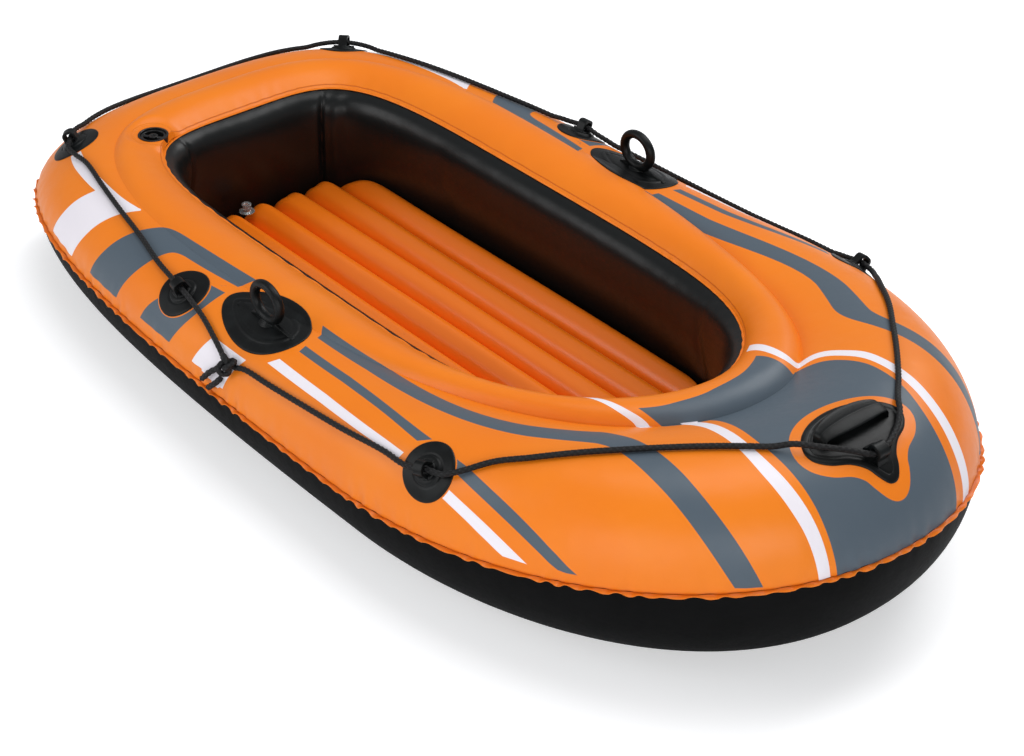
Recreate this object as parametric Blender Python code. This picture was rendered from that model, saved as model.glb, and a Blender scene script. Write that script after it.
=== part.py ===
"""One-person inflatable boat: welded hull skins, air-mat floor, valves, oarlocks and grab rope.

Metres. +X points to the bow, +Y to port and +Z up. The origin is on the ground under the middle of
the boat. The hull is described by three outlines in plan (outer seam, crease, cockpit edge), and by
one cross-section that is drawn on each of a fan of upright planes round the boat.
"""
import math
from collections import namedtuple

import bmesh
import bpy
from mathutils import Matrix, Vector
from mathutils.bvhtree import BVHTree

# Plan outlines: each half is |x / a| ** length_power + |y / half_width| ** beam_power = 1
Outline = namedtuple(
    "Outline",
    "bow stern widest half_width bow_length_power bow_beam_power stern_length_power stern_beam_power",
)
SEAM = Outline(0.764, -0.764, 0.202, 0.398, 2.0, 2.11, 3.07, 4.97)
CREASE = Outline(0.513, -0.657, -0.203, 0.294, 2.14, 2.23, 2.59, 3.30)
EDGE = Outline(0.422, -0.581, -0.104, 0.205, 4.0, 1.90, 5.0, 4.50)

# Heights amidships, and how the bow sheers up forward of LIFT_START
SEAM_Z = 0.129
CREASE_Z = 0.215
EDGE_Z = 0.202
LIFT_START = 0.09
SEAM_LIFT = 0.116
DECK_LIFT = 0.188

# Cross-section planes: a fan at each end and parallel planes along the straight sides
BOW_FAN_X = 0.12
STERN_FAN_X = -0.42
BOW_FAN_STEPS = 22
STERN_FAN_STEPS = 18
SIDE_STEPS = 4

# Facets across each skin
MAIN_STEPS = 8
RIM_STEPS = 6
WALL_STEPS = 5
LOWER_STEPS = 6
BAFFLE_STEPS = 3

# Where the fuller shapes of the bow begin, above and below the seam
DECK_BLEND_START = -0.20
LOWER_BLEND_START = 0.05
STERN_BLEND_START = 0.30

# Upper curve of each skin's cross-section: a value for the sides, for the stern and for the bow
MAIN_RISE = (0.060, 0.030, 0.050)
MAIN_REACH = (0.045, 0.065, 0.182)
MAIN_CROWN = (-0.008, 0.008, 0.104)
RIM_RISE = (0.020, 0.020, 0.034)
RIM_SHOULDER = 0.30
RIM_EDGE_RISE = 0.034
EDGE_LEAN = 0.002
WALL_BULGE = 0.018
WALL_UPPER_DROP = 0.060
WALL_LOWER_Z = 0.070
BAFFLE_INSET = 0.012
BAFFLE_CLEAR = 0.004

# Sheet and weld sizes
SKIN = 0.0015
GAP = 0.0003
WELD = 0.0016
FLANGE_INSIDE = 0.0005
FLANGE_OUTSIDE = 0.008
FLANGE_WAVE = 0.0025
FLANGE_RIPPLE = 0.0012
FLANGE_DROOP = 0.0012
WAVE_LENGTH = 0.038
WAVE_POINTS = 3
LIP_INSIDE = 0.0035
LIP_OUTSIDE = 0.002
LOWER_INSET_SIDE = 0.14
LOWER_INSET_BOW = 0.168
PANEL_OUTSIDE = 0.010

# Colours of the vinyl sheets, the rope and the clear plastic
ORANGE = (0.86, 0.27, 0.05)
BLACK = (0.018, 0.019, 0.021)
ROPE_BLACK = (0.012, 0.012, 0.013)
CLEAR = (0.72, 0.75, 0.76)

# Patches and fittings on the deck
PATCH = 0.0015
HOLDERS = {
    "stern": (-0.655, 0.243),
    "rear": (-0.209, 0.348),
    "front": (0.331, 0.360),
}
HOLDER_RADIUS = 0.0375
HOLDER_BOSS = 0.018
HOLDER_BOSS_TOP = 0.0036
ROPE_TURNS = {"stern": 38, "rear": 10, "front": -26}
ROPE_RADIUS = 0.00475
ROPE_HEIGHT = 0.0125
ROPE_HEIGHT_BESIDE = 0.0098
BRIDGE_INSIDE = 0.0060
BRIDGE_WALL = 0.0042
BRIDGE_LENGTH = 0.014
EYE_LENGTH = 0.017
BRIDGE_FOOT = 0.002
BRIDGE_FLARE = 0.004
OARLOCK_X = -0.055
OARLOCK_Y = 0.318
OARLOCK_HEIGHT = 0.0325
OARLOCK_RING = (0.0270, 0.0240)
OARLOCK_RING_RADIUS = 0.0066
OARLOCK_PATCH_X = -0.066
OARLOCK_PATCH = (0.079, 0.045)
OARLOCK_EGG = -0.20
OARLOCK_PAD = 0.62
OARLOCK_NECK = (0.014, 0.011)
OARLOCK_FIN = ((-0.036, 0.003), (-0.018, 0.010), (0.018, 0.010), (0.056, 0.003))
OARLOCK_FIN_HALF = 0.003
PAD_RISE = 0.001
OVERLAP = 0.0005
DEEP = 0.03
BOW_PATCH_HALF = (
    (0.617, 0.0), (0.622, 0.030), (0.636, 0.057), (0.655, 0.073), (0.672, 0.0745), (0.687, 0.061),
    (0.698, 0.039), (0.710, 0.0245), (0.721, 0.0175), (0.7300, 0.009),
)
BOW_PATCH_TIP = 0.7325
BOW_LIP = 0.0045
BOW_LIP_HEIGHT = 0.0025
HANDLE_X = 0.656
HANDLE_HALF = 0.053
HANDLE_RISE = 0.0165
HANDLE_WIDTH = (0.032, 0.017)
HANDLE_THICKNESS = 0.0035
HANDLE_SINK = 0.006
EYE_X = 0.702
EYE_Y = -0.003
EYE_HEIGHT = 0.0095

# Grab rope: route in plan from the knot forward round the bow, and back along the port side
ROPE_CLEAR = 0.0024
ROPE_SPACING = 0.045
ROPE_SIDES = 8
KNOT = (-0.047, -0.382)
KNOT_POINTS = 36
KNOT_SCALE = 0.0042
KNOT_SWELL = 1.15
KNOT_RADIUS = 0.0040
KNOT_HEIGHT = 0.0110
FORWARD_ROUTE = ((-0.020, -0.378), (0.030, -0.377), (0.098, -0.375), (0.181, -0.373), (0.258, -0.369))
BOW_ROUTE = ((0.403, -0.316), (0.437, -0.289), (0.499, -0.228), (0.561, -0.164), (0.617, -0.110))
LOBE_ROUTE = ((0.647, -0.083, 0.0112), (0.669, -0.063, 0.0125), (0.690, -0.036, 0.0115))
PORT_BOW_ROUTE = ((0.620, 0.131), (0.569, 0.174), (0.525, 0.216), (0.474, 0.263), (0.420, 0.306))
PORT_ROUTE = ((0.262, 0.371), (0.176, 0.376), (0.070, 0.378), (-0.045, 0.375), (-0.135, 0.364))
STERN_SIDE_ROUTE = (
    (-0.288, -0.336), (-0.350, -0.322), (-0.430, -0.306), (-0.500, -0.290), (-0.570, -0.272),
)
STERN_ROUTE = ((-0.700, 0.192), (-0.727, 0.110), (-0.735, 0.0), (-0.727, -0.110), (-0.700, -0.192))
AFT_ROUTE = ((-0.135, -0.361), (-0.100, -0.370), (-0.073, -0.377))
TAILS = {
    "upper": ((-0.066, -0.391, 0.168), (-0.078, -0.394, 0.158), (-0.093, -0.396, 0.142)),
    "lower": ((-0.054, -0.394, 0.160), (-0.064, -0.397, 0.149), (-0.078, -0.399, 0.137)),
}

# Main valve, and the small valve of the floor mat
VALVE_X = -0.578
VALVE_Y = -0.156
VALVE_BORE = 0.019
VALVE_WALL = 0.0025
VALVE_DEPTH = 0.020
VALVE_FLANGE = 0.0250
VALVE_TOP = 0.0012
VALVE_BAR_TURN = 35.0
VALVE_BAR = (0.0165, 0.0035)
VALVE_SPIDER = (0.012, 0.0025)
VALVE_HUB = 0.0070
VALVE_HUB_HOLE = 0.0035
FLAP_STEM = 0.0015
FLAP_STEM_HOLE = 0.0018
FLOOR_VALVE_X = -0.538
FLOOR_VALVE_Y = -0.030

# Floor mat
MAT_BEAMS = 7
MAT_THICKNESS = 0.058
MAT_VALLEY = 0.016
MAT_HALF_WIDTH = 0.189
MAT_BOW = 0.405
MAT_STERN = -0.566
MAT_EDGE = 0.003
MAT_SIDE = 0.985
MAT_SCALLOP = 0.012
MAT_TAPER = 0.028


def smoothstep(value, low, high):
    """Ease from 0 at low to 1 at high."""
    u = min(max((value - low) / (high - low), 0.0), 1.0)
    return u * u * (3.0 - 2.0 * u)


def mix(a, b, share):
    """Blend from a to b."""
    return a + (b - a) * share


def bow_share(x, start):
    """0 along the sides and stern, growing from x = start to 1 at the bow's tip."""
    return smoothstep(x, start, SEAM.bow)


def plan_radius(outline, origin_x, angle):
    """Distance from the point (origin_x, 0) along the angle to the outline."""
    low, high = 0.0, 1.5
    for _ in range(48):
        middle = 0.5 * (low + high)
        x = origin_x + middle * math.cos(angle)
        y = middle * math.sin(angle)
        if x > outline.widest:
            reach = (x - outline.widest) / (outline.bow - outline.widest)
            value = reach ** outline.bow_length_power
            value += abs(y / outline.half_width) ** outline.bow_beam_power
        else:
            reach = (outline.widest - x) / (outline.widest - outline.stern)
            value = reach ** outline.stern_length_power
            value += abs(y / outline.half_width) ** outline.stern_beam_power
        if value < 1.0:
            low = middle
        else:
            high = middle
    return 0.5 * (low + high)


class Section:
    """One upright plane of the hull, with r measured along it from its foot on the centreline."""

    def __init__(self, origin_x, angle):
        self.origin_x = origin_x
        self.angle = angle
        self.seam_r = plan_radius(SEAM, origin_x, angle)
        self.crease_r = plan_radius(CREASE, origin_x, angle)
        self.edge_r = plan_radius(EDGE, origin_x, angle)
        self.seam_z = SEAM_Z + self.lift(self.seam_r, SEAM_LIFT)
        self.crease_z = CREASE_Z + self.lift(self.crease_r, DECK_LIFT)
        self.edge_z = EDGE_Z + self.lift(self.edge_r, DECK_LIFT)
        seam_x = origin_x + self.seam_r * math.cos(angle)
        self.bow = bow_share(seam_x, DECK_BLEND_START)
        self.stern = smoothstep(-seam_x, STERN_BLEND_START, -SEAM.stern)
        lower_bow = bow_share(seam_x, LOWER_BLEND_START)
        self.lower_inset = mix(LOWER_INSET_SIDE, LOWER_INSET_BOW, lower_bow)

    def blend(self, values):
        """Mix of a value for the sides, one for the stern and one for the bow."""
        side, stern, bow = values
        return mix(mix(side, stern, self.stern), bow, self.bow)

    def lift(self, r, rate):
        """Rise of the sheer at distance r."""
        x = self.origin_x + r * math.cos(self.angle)
        return rate * max(0.0, x - LIFT_START) ** 2

    def point(self, r, z):
        """World point of a point in this plane."""
        return Vector((self.origin_x + r * math.cos(self.angle), r * math.sin(self.angle), z))

    def main_profile(self, steps):
        """Upper skin of the outer chamber, from the seam over its crown to the crease."""
        foot_z = self.seam_z + WELD / 2 + GAP
        reach = self.crease_r + self.blend(MAIN_REACH)
        controls = (
            (self.seam_r, foot_z),
            (self.seam_r, foot_z + self.blend(MAIN_RISE)),
            (reach, self.crease_z + self.blend(MAIN_CROWN)),
            (self.crease_r + GAP / 2, self.crease_z),
        )
        return bezier(controls, steps)

    def rim_profile(self, steps):
        """Upper skin of the rim chamber, from the crease to the cockpit edge."""
        shoulder = mix(self.crease_r, self.edge_r, RIM_SHOULDER)
        controls = (
            (self.crease_r - GAP / 2, self.crease_z),
            (shoulder, self.crease_z + self.blend(RIM_RISE)),
            (self.edge_r - EDGE_LEAN, self.edge_z + RIM_EDGE_RISE),
            (self.edge_r, self.edge_z + WELD / 2 + GAP),
        )
        return bezier(controls, steps)

    def wall_profile(self, steps):
        """Cockpit wall, from the edge weld down to the base sheet, bulging into the cockpit."""
        controls = (
            (self.edge_r, self.edge_z - WELD / 2 - GAP),
            (self.edge_r - WALL_BULGE, self.edge_z - WALL_UPPER_DROP),
            (self.edge_r - WALL_BULGE, WALL_LOWER_Z),
            (self.edge_r - EDGE_LEAN, SKIN + GAP),
        )
        return bezier(controls, steps)

    def lower_profile(self, steps):
        """Black skin from the seam round and under to the edge of the base sheet."""
        top_z = self.seam_z - WELD / 2 - GAP
        points = []
        for i in range(steps + 1):
            turn = 0.5 * math.pi * i / steps
            r = self.seam_r - self.lower_inset * (1.0 - math.cos(turn))
            points.append((r, top_z * (1.0 - math.sin(turn))))
        points.append((self.edge_r + PANEL_OUTSIDE, 0.0))
        return points

    def baffle_profile(self, steps):
        """Hidden sheet between the chambers, from under the crease down to the lower skin."""
        top = (self.crease_r - SKIN / 2, self.crease_z - SKIN - GAP)
        low_r = min(self.crease_r - BAFFLE_INSET, self.seam_r - self.lower_inset - BAFFLE_CLEAR)
        foot = (low_r, SKIN + GAP)
        shares = [i / steps for i in range(steps + 1)]
        return [(mix(top[0], foot[0], t * t), mix(top[1], foot[1], t)) for t in shares]


def bezier(controls, steps):
    """Points along one cubic curve."""
    points = []
    for i in range(steps + 1):
        t = i / steps
        weights = ((1 - t) ** 3, 3 * t * (1 - t) ** 2, 3 * t * t * (1 - t), t ** 3)
        r = sum(w * c[0] for w, c in zip(weights, controls))
        z = sum(w * c[1] for w, c in zip(weights, controls))
        points.append((r, z))
    return points


def offset_profile(profile, distance, first_shift, last_shift):
    """Move a profile sideways: to its left for a positive distance. The ends move as given."""
    moved = []
    for i, (r, z) in enumerate(profile):
        if i == 0:
            moved.append((r + first_shift[0], z + first_shift[1]))
            continue
        if i == len(profile) - 1:
            moved.append((r + last_shift[0], z + last_shift[1]))
            continue
        dr = profile[i + 1][0] - profile[i - 1][0]
        dz = profile[i + 1][1] - profile[i - 1][1]
        length = math.hypot(dr, dz)
        moved.append((r - distance * dz / length, z + distance * dr / length))
    return moved


def hull_sections():
    """All cross-section planes in order: bow fan, port side, stern fan, starboard side."""
    rays = []
    for i in range(BOW_FAN_STEPS):
        rays.append((BOW_FAN_X, math.radians(-90 + 180 * i / BOW_FAN_STEPS)))
    for i in range(SIDE_STEPS):
        rays.append((mix(BOW_FAN_X, STERN_FAN_X, i / SIDE_STEPS), math.radians(90)))
    for i in range(STERN_FAN_STEPS):
        rays.append((STERN_FAN_X, math.radians(90 + 180 * i / STERN_FAN_STEPS)))
    for i in range(SIDE_STEPS):
        rays.append((mix(STERN_FAN_X, BOW_FAN_X, i / SIDE_STEPS), math.radians(-90)))
    return [Section(x, angle) for x, angle in rays]


def make_material(name, color, roughness, metallic=0.0):
    """Principled material with one plain colour."""
    material = bpy.data.materials.new(name)
    material.use_nodes = True
    shader = material.node_tree.nodes["Principled BSDF"]
    shader.inputs["Base Color"].default_value = (*color, 1.0)
    shader.inputs["Roughness"].default_value = roughness
    shader.inputs["Metallic"].default_value = metallic
    return material


def mesh_object(name, vertices, faces, color, roughness=0.45):
    """Closed mesh with faces pointing out, as one named object with its own material."""
    mesh = bpy.data.meshes.new(name)
    mesh.from_pydata(vertices, [], faces)
    build = bmesh.new()
    build.from_mesh(mesh)
    bmesh.ops.recalc_face_normals(build, faces=build.faces)
    build.to_mesh(mesh)
    build.free()
    mesh.shade_smooth()
    mesh.set_sharp_from_angle(angle=math.radians(50))
    piece = bpy.data.objects.new(name, mesh)
    piece.data.materials.append(make_material(name, color, roughness))
    bpy.context.scene.collection.objects.link(piece)
    return piece


def ring_object(name, loops, color, roughness=0.45):
    """Closed ring through cross-section loops. A loop runs out along one side and back the other.

    Each four-sided cell is split the same way on both sides, so that sheets laid over each other
    keep their distance.
    """
    count = len(loops[0])
    vertices = [point for loop in loops for point in loop]
    faces = []
    for i in range(len(loops)):
        here = i * count
        there = ((i + 1) % len(loops)) * count
        for j in range(count):
            k = (j + 1) % count
            if j < count // 2:
                faces.append((here + j, here + k, there + k))
                faces.append((here + j, there + k, there + j))
            else:
                faces.append((here + j, here + k, there + j))
                faces.append((here + k, there + k, there + j))
    return mesh_object(name, vertices, faces, color, roughness)


class Deck:
    """The outside of the hull's upper skins, for laying fittings on."""

    def __init__(self, sections):
        self.sections = sections
        loops = [self.line(section) for section in sections]
        count = len(loops[0])
        vertices = [section.point(r, z) for section, loop in zip(sections, loops) for r, z in loop]
        faces = []
        for i in range(len(loops)):
            here = i * count
            there = ((i + 1) % len(loops)) * count
            for j in range(count - 1):
                faces.append((here + j, here + j + 1, there + j + 1))
                faces.append((here + j, there + j + 1, there + j))
        self.tree = BVHTree.FromPolygons(vertices, faces)

    @staticmethod
    def line(section):
        """Section outline from the seam over both chambers to the cockpit edge."""
        return section.main_profile(MAIN_STEPS)[:-1] + section.rim_profile(RIM_STEPS)

    def under(self, x, y):
        """Point of the deck straight under (x, y)."""
        return self.tree.ray_cast(Vector((x, y, 1.0)), Vector((0.0, 0.0, -1.0)))[0]

    def beside(self, point):
        """Centre of a rope that lies on the deck nearest to the point."""
        place, normal = self.tree.find_nearest(point)[:2]
        if normal.z < 0.0:
            normal = -normal
        return place + normal * (ROPE_RADIUS + ROPE_CLEAR)

    def along(self, route):
        """Rope centres over the plan points of a route."""
        return [self.beside(self.under(x, y)) for x, y in route]

    def lifted(self, route):
        """Points at given heights over the plan points of a route."""
        return [self.under(x, y) + Vector((0.0, 0.0, up)) for x, y, up in route]

    def frame(self, x, y, heading):
        """Matrix with its origin on the deck, Z along the deck's normal, X near the heading."""
        reach = 0.008
        along = self.under(x + reach, y) - self.under(x - reach, y)
        across = self.under(x, y + reach) - self.under(x, y - reach)
        normal = along.cross(across).normalized()
        ahead = Vector((math.cos(heading), math.sin(heading), 0.0))
        side = normal.cross(ahead).normalized()
        matrix = Matrix((side.cross(normal), side, normal)).transposed().to_4x4()
        matrix.translation = self.under(x, y)
        return matrix

    def shell(self, low, high):
        """Closed sheet that follows the deck between two heights above it."""
        loops = []
        for section in self.sections:
            line = self.line(section)
            top = offset_profile(line, -high, (high, 0.0), (-high, 0.0))
            base = offset_profile(line, -low, (low, 0.0), (-low, 0.0))
            loops.append([section.point(r, z) for r, z in top + base[::-1]])
        return ring_object("shell", loops, BLACK)


def combine(base, tool, operation):
    """Cut, join or intersect base with tool, and take the tool away."""
    modifier = base.modifiers.new("combine", "BOOLEAN")
    modifier.operation = operation
    modifier.solver = "EXACT"
    modifier.object = tool
    graph = bpy.context.evaluated_depsgraph_get()
    mesh = bpy.data.meshes.new_from_object(base.evaluated_get(graph))
    base.modifiers.clear()
    base.data = mesh
    bpy.data.objects.remove(tool)
    return base


def finish(piece, name, color, roughness=0.45):
    """Name a finished piece, clean tiny edges and give it its own material."""
    build = bmesh.new()
    build.from_mesh(piece.data)
    bmesh.ops.remove_doubles(build, verts=build.verts, dist=0.00002)
    bmesh.ops.dissolve_degenerate(build, edges=build.edges, dist=0.00002)
    bmesh.ops.recalc_face_normals(build, faces=build.faces)
    build.to_mesh(piece.data)
    build.free()
    piece.data.shade_smooth()
    piece.data.set_sharp_from_angle(angle=math.radians(40))
    piece.name = name
    piece.data.materials.clear()
    piece.data.materials.append(make_material(name, color, roughness))
    return piece


def prism(outline, low, high, matrix=None):
    """Solid with the same outline at two heights."""
    count = len(outline)
    vertices = [Vector((x, y, low)) for x, y in outline] + [Vector((x, y, high)) for x, y in outline]
    if matrix:
        vertices = [matrix @ v for v in vertices]
    faces = [tuple(range(count)), tuple(range(count, 2 * count))]
    for i in range(count):
        j = (i + 1) % count
        faces.append((i, j, count + j, count + i))
    return mesh_object("prism", vertices, faces, BLACK)


def lathe(profile, steps, matrix):
    """Solid of revolution about Z. A profile is a closed loop, or open with both ends on the axis."""
    on_axis = profile[0][0] == 0.0
    vertices = []
    for i in range(steps):
        turn = 2 * math.pi * i / steps
        for r, z in profile[1:-1] if on_axis else profile:
            vertices.append(Vector((r * math.cos(turn), r * math.sin(turn), z)))
    count = len(vertices) // steps
    faces = []
    for i in range(steps):
        here = i * count
        there = ((i + 1) % steps) * count
        for j in range(count - 1 if on_axis else count):
            k = (j + 1) % count
            faces.append((here + j, here + k, there + k, there + j))
    if on_axis:
        faces.append(tuple(i * count for i in range(steps)))
        faces.append(tuple(i * count + count - 1 for i in range(steps)))
    return mesh_object("lathe", [matrix @ v for v in vertices], faces, BLACK)


def circle(radius, steps):
    """Points round a circle."""
    turns = [2 * math.pi * i / steps for i in range(steps)]
    return [(radius * math.cos(t), radius * math.sin(t)) for t in turns]


def smooth_closed(points, steps):
    """Smooth closed curve through the points, with extra points between them."""
    result = []
    count = len(points)
    for i in range(count):
        before, here, there, after = (Vector(points[(i + k) % count]) for k in (-1, 0, 1, 2))
        for j in range(steps):
            t = j / steps
            cubic = 3 * (here - there) + after - before
            square = 2 * before - 5 * here + 4 * there - after
            result.append(here + 0.5 * t * (there - before + t * (square + t * cubic)))
    return result


def band(path, frames_up, widths, thickness):
    """Strap of rectangular section along a path, with a width for each of its points."""
    loops = []
    for i, (point, width) in enumerate(zip(path, widths)):
        ahead = path[min(i + 1, len(path) - 1)] - path[max(i - 1, 0)]
        side = ahead.cross(frames_up).normalized() * width / 2
        rise = side.cross(ahead).normalized() * thickness / 2
        low, high = point - rise, point + rise
        loops.append([low - side, low + side, high + side, high - side])
    vertices = [v for loop in loops for v in loop]
    faces = [(0, 1, 2, 3), tuple(range(len(vertices) - 4, len(vertices)))]
    for i in range(len(loops) - 1):
        for j in range(4):
            k = (j + 1) % 4
            faces.append((4 * i + j, 4 * i + k, 4 * i + 4 + k, 4 * i + 4 + j))
    return mesh_object("band", vertices, faces, BLACK)


def tube(path, radius, sides, closed=False):
    """Round tube along a path, with flat ends."""
    count = len(path)
    ahead = [path[(i + 1) % count] - path[i - 1] for i in range(count)]
    if not closed:
        ahead[0] = path[1] - path[0]
        ahead[-1] = path[-1] - path[-2]
    is_steep = abs(ahead[0].normalized().z) > 0.7
    side = ahead[0].cross(Vector((1.0, 1.0, 0.0)) if is_steep else Vector((0.0, 0.0, 1.0)))
    vertices = []
    for point, direction in zip(path, ahead):
        direction = direction.normalized()
        side = (side - side.dot(direction) * direction).normalized()
        rise = direction.cross(side)
        for j in range(sides):
            turn = 2 * math.pi * j / sides
            vertices.append(point + radius * (math.cos(turn) * side + math.sin(turn) * rise))
    faces = []
    for i in range(count if closed else count - 1):
        here = i * sides
        there = ((i + 1) % count) * sides
        for j in range(sides):
            k = (j + 1) % sides
            faces.append((here + j, here + k, there + k, there + j))
    if not closed:
        faces.append(tuple(range(sides)))
        faces.append(tuple(range(len(vertices) - sides, len(vertices))))
    return mesh_object("tube", vertices, faces, BLACK)


def build_skins(sections):
    """The hull's welded ring skins, and the hidden sheet between its two chambers."""
    inside = (-SKIN, 0.0)
    outside = (SKIN, 0.0)
    down = (0.0, -SKIN)
    up = (0.0, SKIN)
    plans = (
        ("main_chamber_skin", Section.main_profile, MAIN_STEPS, SKIN, inside, down, ORANGE),
        ("rim_chamber_skin", Section.rim_profile, RIM_STEPS, SKIN, down, outside, ORANGE),
        ("cockpit_wall", Section.wall_profile, WALL_STEPS, SKIN, outside, outside, BLACK),
        ("lower_side_skin", Section.lower_profile, LOWER_STEPS, -SKIN, inside, up, BLACK),
        ("chamber_baffle", Section.baffle_profile, BAFFLE_STEPS, SKIN, outside, outside, BLACK),
    )
    skins = {}
    for name, outline, steps, distance, first, last, color in plans:
        loops = []
        for section in sections:
            profile = outline(section, steps)
            back = offset_profile(profile, distance, first, last)
            loops.append([section.point(r, z) for r, z in profile + back[::-1]])
        skins[name] = ring_object(name, loops, color)
    return skins


def build_cockpit_weld(sections):
    """Narrow lip where the rim skin and the cockpit wall are welded together."""
    loops = []
    for section in sections:
        inner, outer = section.edge_r - LIP_INSIDE, section.edge_r + LIP_OUTSIDE
        low, high = section.edge_z - WELD / 2, section.edge_z + WELD / 2
        corners = ((inner, low), (outer, low), (outer, high), (inner, high))
        loops.append([section.point(r, z) for r, z in corners])
    ring_object("cockpit_weld", loops, ORANGE)


def build_seam_flange(sections):
    """Wavy margin of the outer weld, standing out all round the hull."""
    corners = [section.point(section.seam_r, section.seam_z) for section in sections]
    count = len(corners)
    lengths = [(corners[(i + 1) % count] - corners[i]).length for i in range(count)]
    total = sum(lengths)
    waves = round(total / WAVE_LENGTH)
    normals = []
    for i in range(count):
        ahead = corners[(i + 1) % count] - corners[i - 1]
        normals.append(Vector((ahead.y, -ahead.x, 0.0)).normalized())
    half = Vector((0.0, 0.0, WELD / 2))
    loops = []
    passed = 0.0
    for i, length in enumerate(lengths):
        after = (i + 1) % count
        steps = max(1, round(length * WAVE_POINTS / WAVE_LENGTH))
        for step in range(steps):
            point = corners[i].lerp(corners[after], step / steps)
            normal = normals[i].lerp(normals[after], step / steps).normalized()
            turn = 2 * math.pi * (passed + length * step / steps) / total
            phase = waves * turn
            reach = FLANGE_OUTSIDE + FLANGE_WAVE * math.sin(phase + 2 * math.sin(5 * turn))
            drop = FLANGE_DROOP + FLANGE_RIPPLE * math.cos(phase + 2 * math.sin(7 * turn))
            inner = point - normal * FLANGE_INSIDE
            outer = point + normal * reach - Vector((0.0, 0.0, drop))
            loops.append([inner - half, outer - half, outer + half, inner + half])
        passed += length
    ring_object("seam_flange", loops, ORANGE)


def build_bottom_panel(sections):
    """Flat base sheet under the cockpit, which the boat rests on."""
    outline = []
    for section in sections:
        foot = section.point(section.edge_r + PANEL_OUTSIDE - GAP, 0.0)
        outline.append((foot.x, foot.y))
    finish(prism(outline, 0.0, SKIN), "bottom_panel", BLACK)


def beam_rise(share):
    """Height across one air beam, from 0 at its valleys to 1 at its crown."""
    return math.sqrt(max(0.0, 1.0 - (2.0 * share - 1.0) ** 2))


def build_floor_mat():
    """Air mat with lengthwise beams that round off towards both ends, and a flat underside."""
    base = SKIN + GAP
    shares = (0.0, 0.07, 0.25, 0.5, 0.75, 0.93)
    taper = (0.0, 0.003, 0.009, 0.019, 0.034)
    beam_width = 2 * MAT_HALF_WIDTH * MAT_SIDE / MAT_BEAMS
    lines = []
    for beam in range(MAT_BEAMS):
        for share in shares:
            lines.append((beam, share))
    lines.append((MAT_BEAMS - 1, 1.0))
    grid = []
    for beam, share in lines:
        y = -MAT_HALF_WIDTH * MAT_SIDE + (beam + share) * beam_width
        across = abs(y / MAT_HALF_WIDTH)
        rise = beam_rise(share)
        bow = EDGE.widest + (MAT_BOW - EDGE.widest) * (1 - across ** EDGE.bow_beam_power) ** 0.25
        stern = EDGE.widest - (EDGE.widest - MAT_STERN) * (1 - across ** EDGE.stern_beam_power) ** 0.2
        stern += MAT_SCALLOP * (1.0 - rise)
        bow -= MAT_SCALLOP * (1.0 - rise)
        outer = beam in (0, MAT_BEAMS - 1) and share in (0.0, 1.0)
        is_side = outer and (share == 0.0) == (beam == 0)
        valley = MAT_EDGE if is_side else MAT_VALLEY
        top = valley + (MAT_THICKNESS - valley) * rise
        steps = [stern + t for t in taper]
        steps += [mix(stern, bow, k / 4) for k in (1, 2, 3)]
        steps += [bow - t for t in reversed(taper)]
        row = []
        for x in steps:
            end = min(x - stern, bow - x, MAT_TAPER)
            share_up = math.sqrt(max(0.0, 1.0 - (1.0 - end / MAT_TAPER) ** 2))
            row.append(Vector((x, y, base + mix(MAT_EDGE, top, share_up))))
        grid.append(row)
    rows, columns = len(grid), len(grid[0])
    vertices = [v for row in grid for v in row]
    faces = []
    for i in range(rows - 1):
        for j in range(columns - 1):
            a = i * columns + j
            faces.append((a, a + columns, a + columns + 1, a + 1))
    border = [(0, j) for j in range(columns)]
    border += [(i, columns - 1) for i in range(1, rows)]
    border += [(rows - 1, j) for j in range(columns - 2, -1, -1)]
    border += [(i, 0) for i in range(rows - 2, 0, -1)]
    foot = len(vertices)
    for i, j in border:
        vertices.append(Vector((grid[i][j].x, grid[i][j].y, base)))
    for n, (i, j) in enumerate(border):
        i_next, j_next = border[(n + 1) % len(border)]
        after = (n + 1) % len(border)
        faces.append((i * columns + j, i_next * columns + j_next, foot + after, foot + n))
    for i in range(rows - 1):
        faces.append(strip_under(i, rows, columns, border, foot))
    mat = mesh_object("floor_mat", vertices, faces, ORANGE)
    mat.data.set_sharp_from_angle(angle=math.radians(80))


def strip_under(i, rows, columns, border, foot):
    """Underside face between two neighbouring lines of the floor mat."""
    index = {cell: foot + n for n, cell in enumerate(border)}
    here = [index[(i, j)] for j in (range(columns) if i == 0 else (0, columns - 1))]
    last = i + 1 == rows - 1
    there = [index[(i + 1, j)] for j in (range(columns) if last else (0, columns - 1))]
    return tuple(here + there[::-1])


def build_holder(deck, place, side, x, y):
    """Moulded disc with a round boss and a short square bridge that the rope passes under."""
    frame = deck.frame(x, y, rope_heading(place, side))
    round_disc = prism(circle(HOLDER_RADIUS, 20), -DEEP, DEEP, frame)
    disc = combine(deck.shell(GAP, GAP + PATCH), round_disc, "INTERSECT")
    boss = prism(circle(HOLDER_BOSS, 16), -0.01, HOLDER_BOSS_TOP, frame)
    boss = combine(boss, deck.shell(-DEEP, GAP + OVERLAP), "DIFFERENCE")
    disc = combine(disc, boss, "UNION")
    disc = combine(disc, bridge(frame, ROPE_HEIGHT, BRIDGE_LENGTH), "UNION")
    finish(disc, "rope_holder_%s_%s" % (place, side), BLACK)


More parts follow.
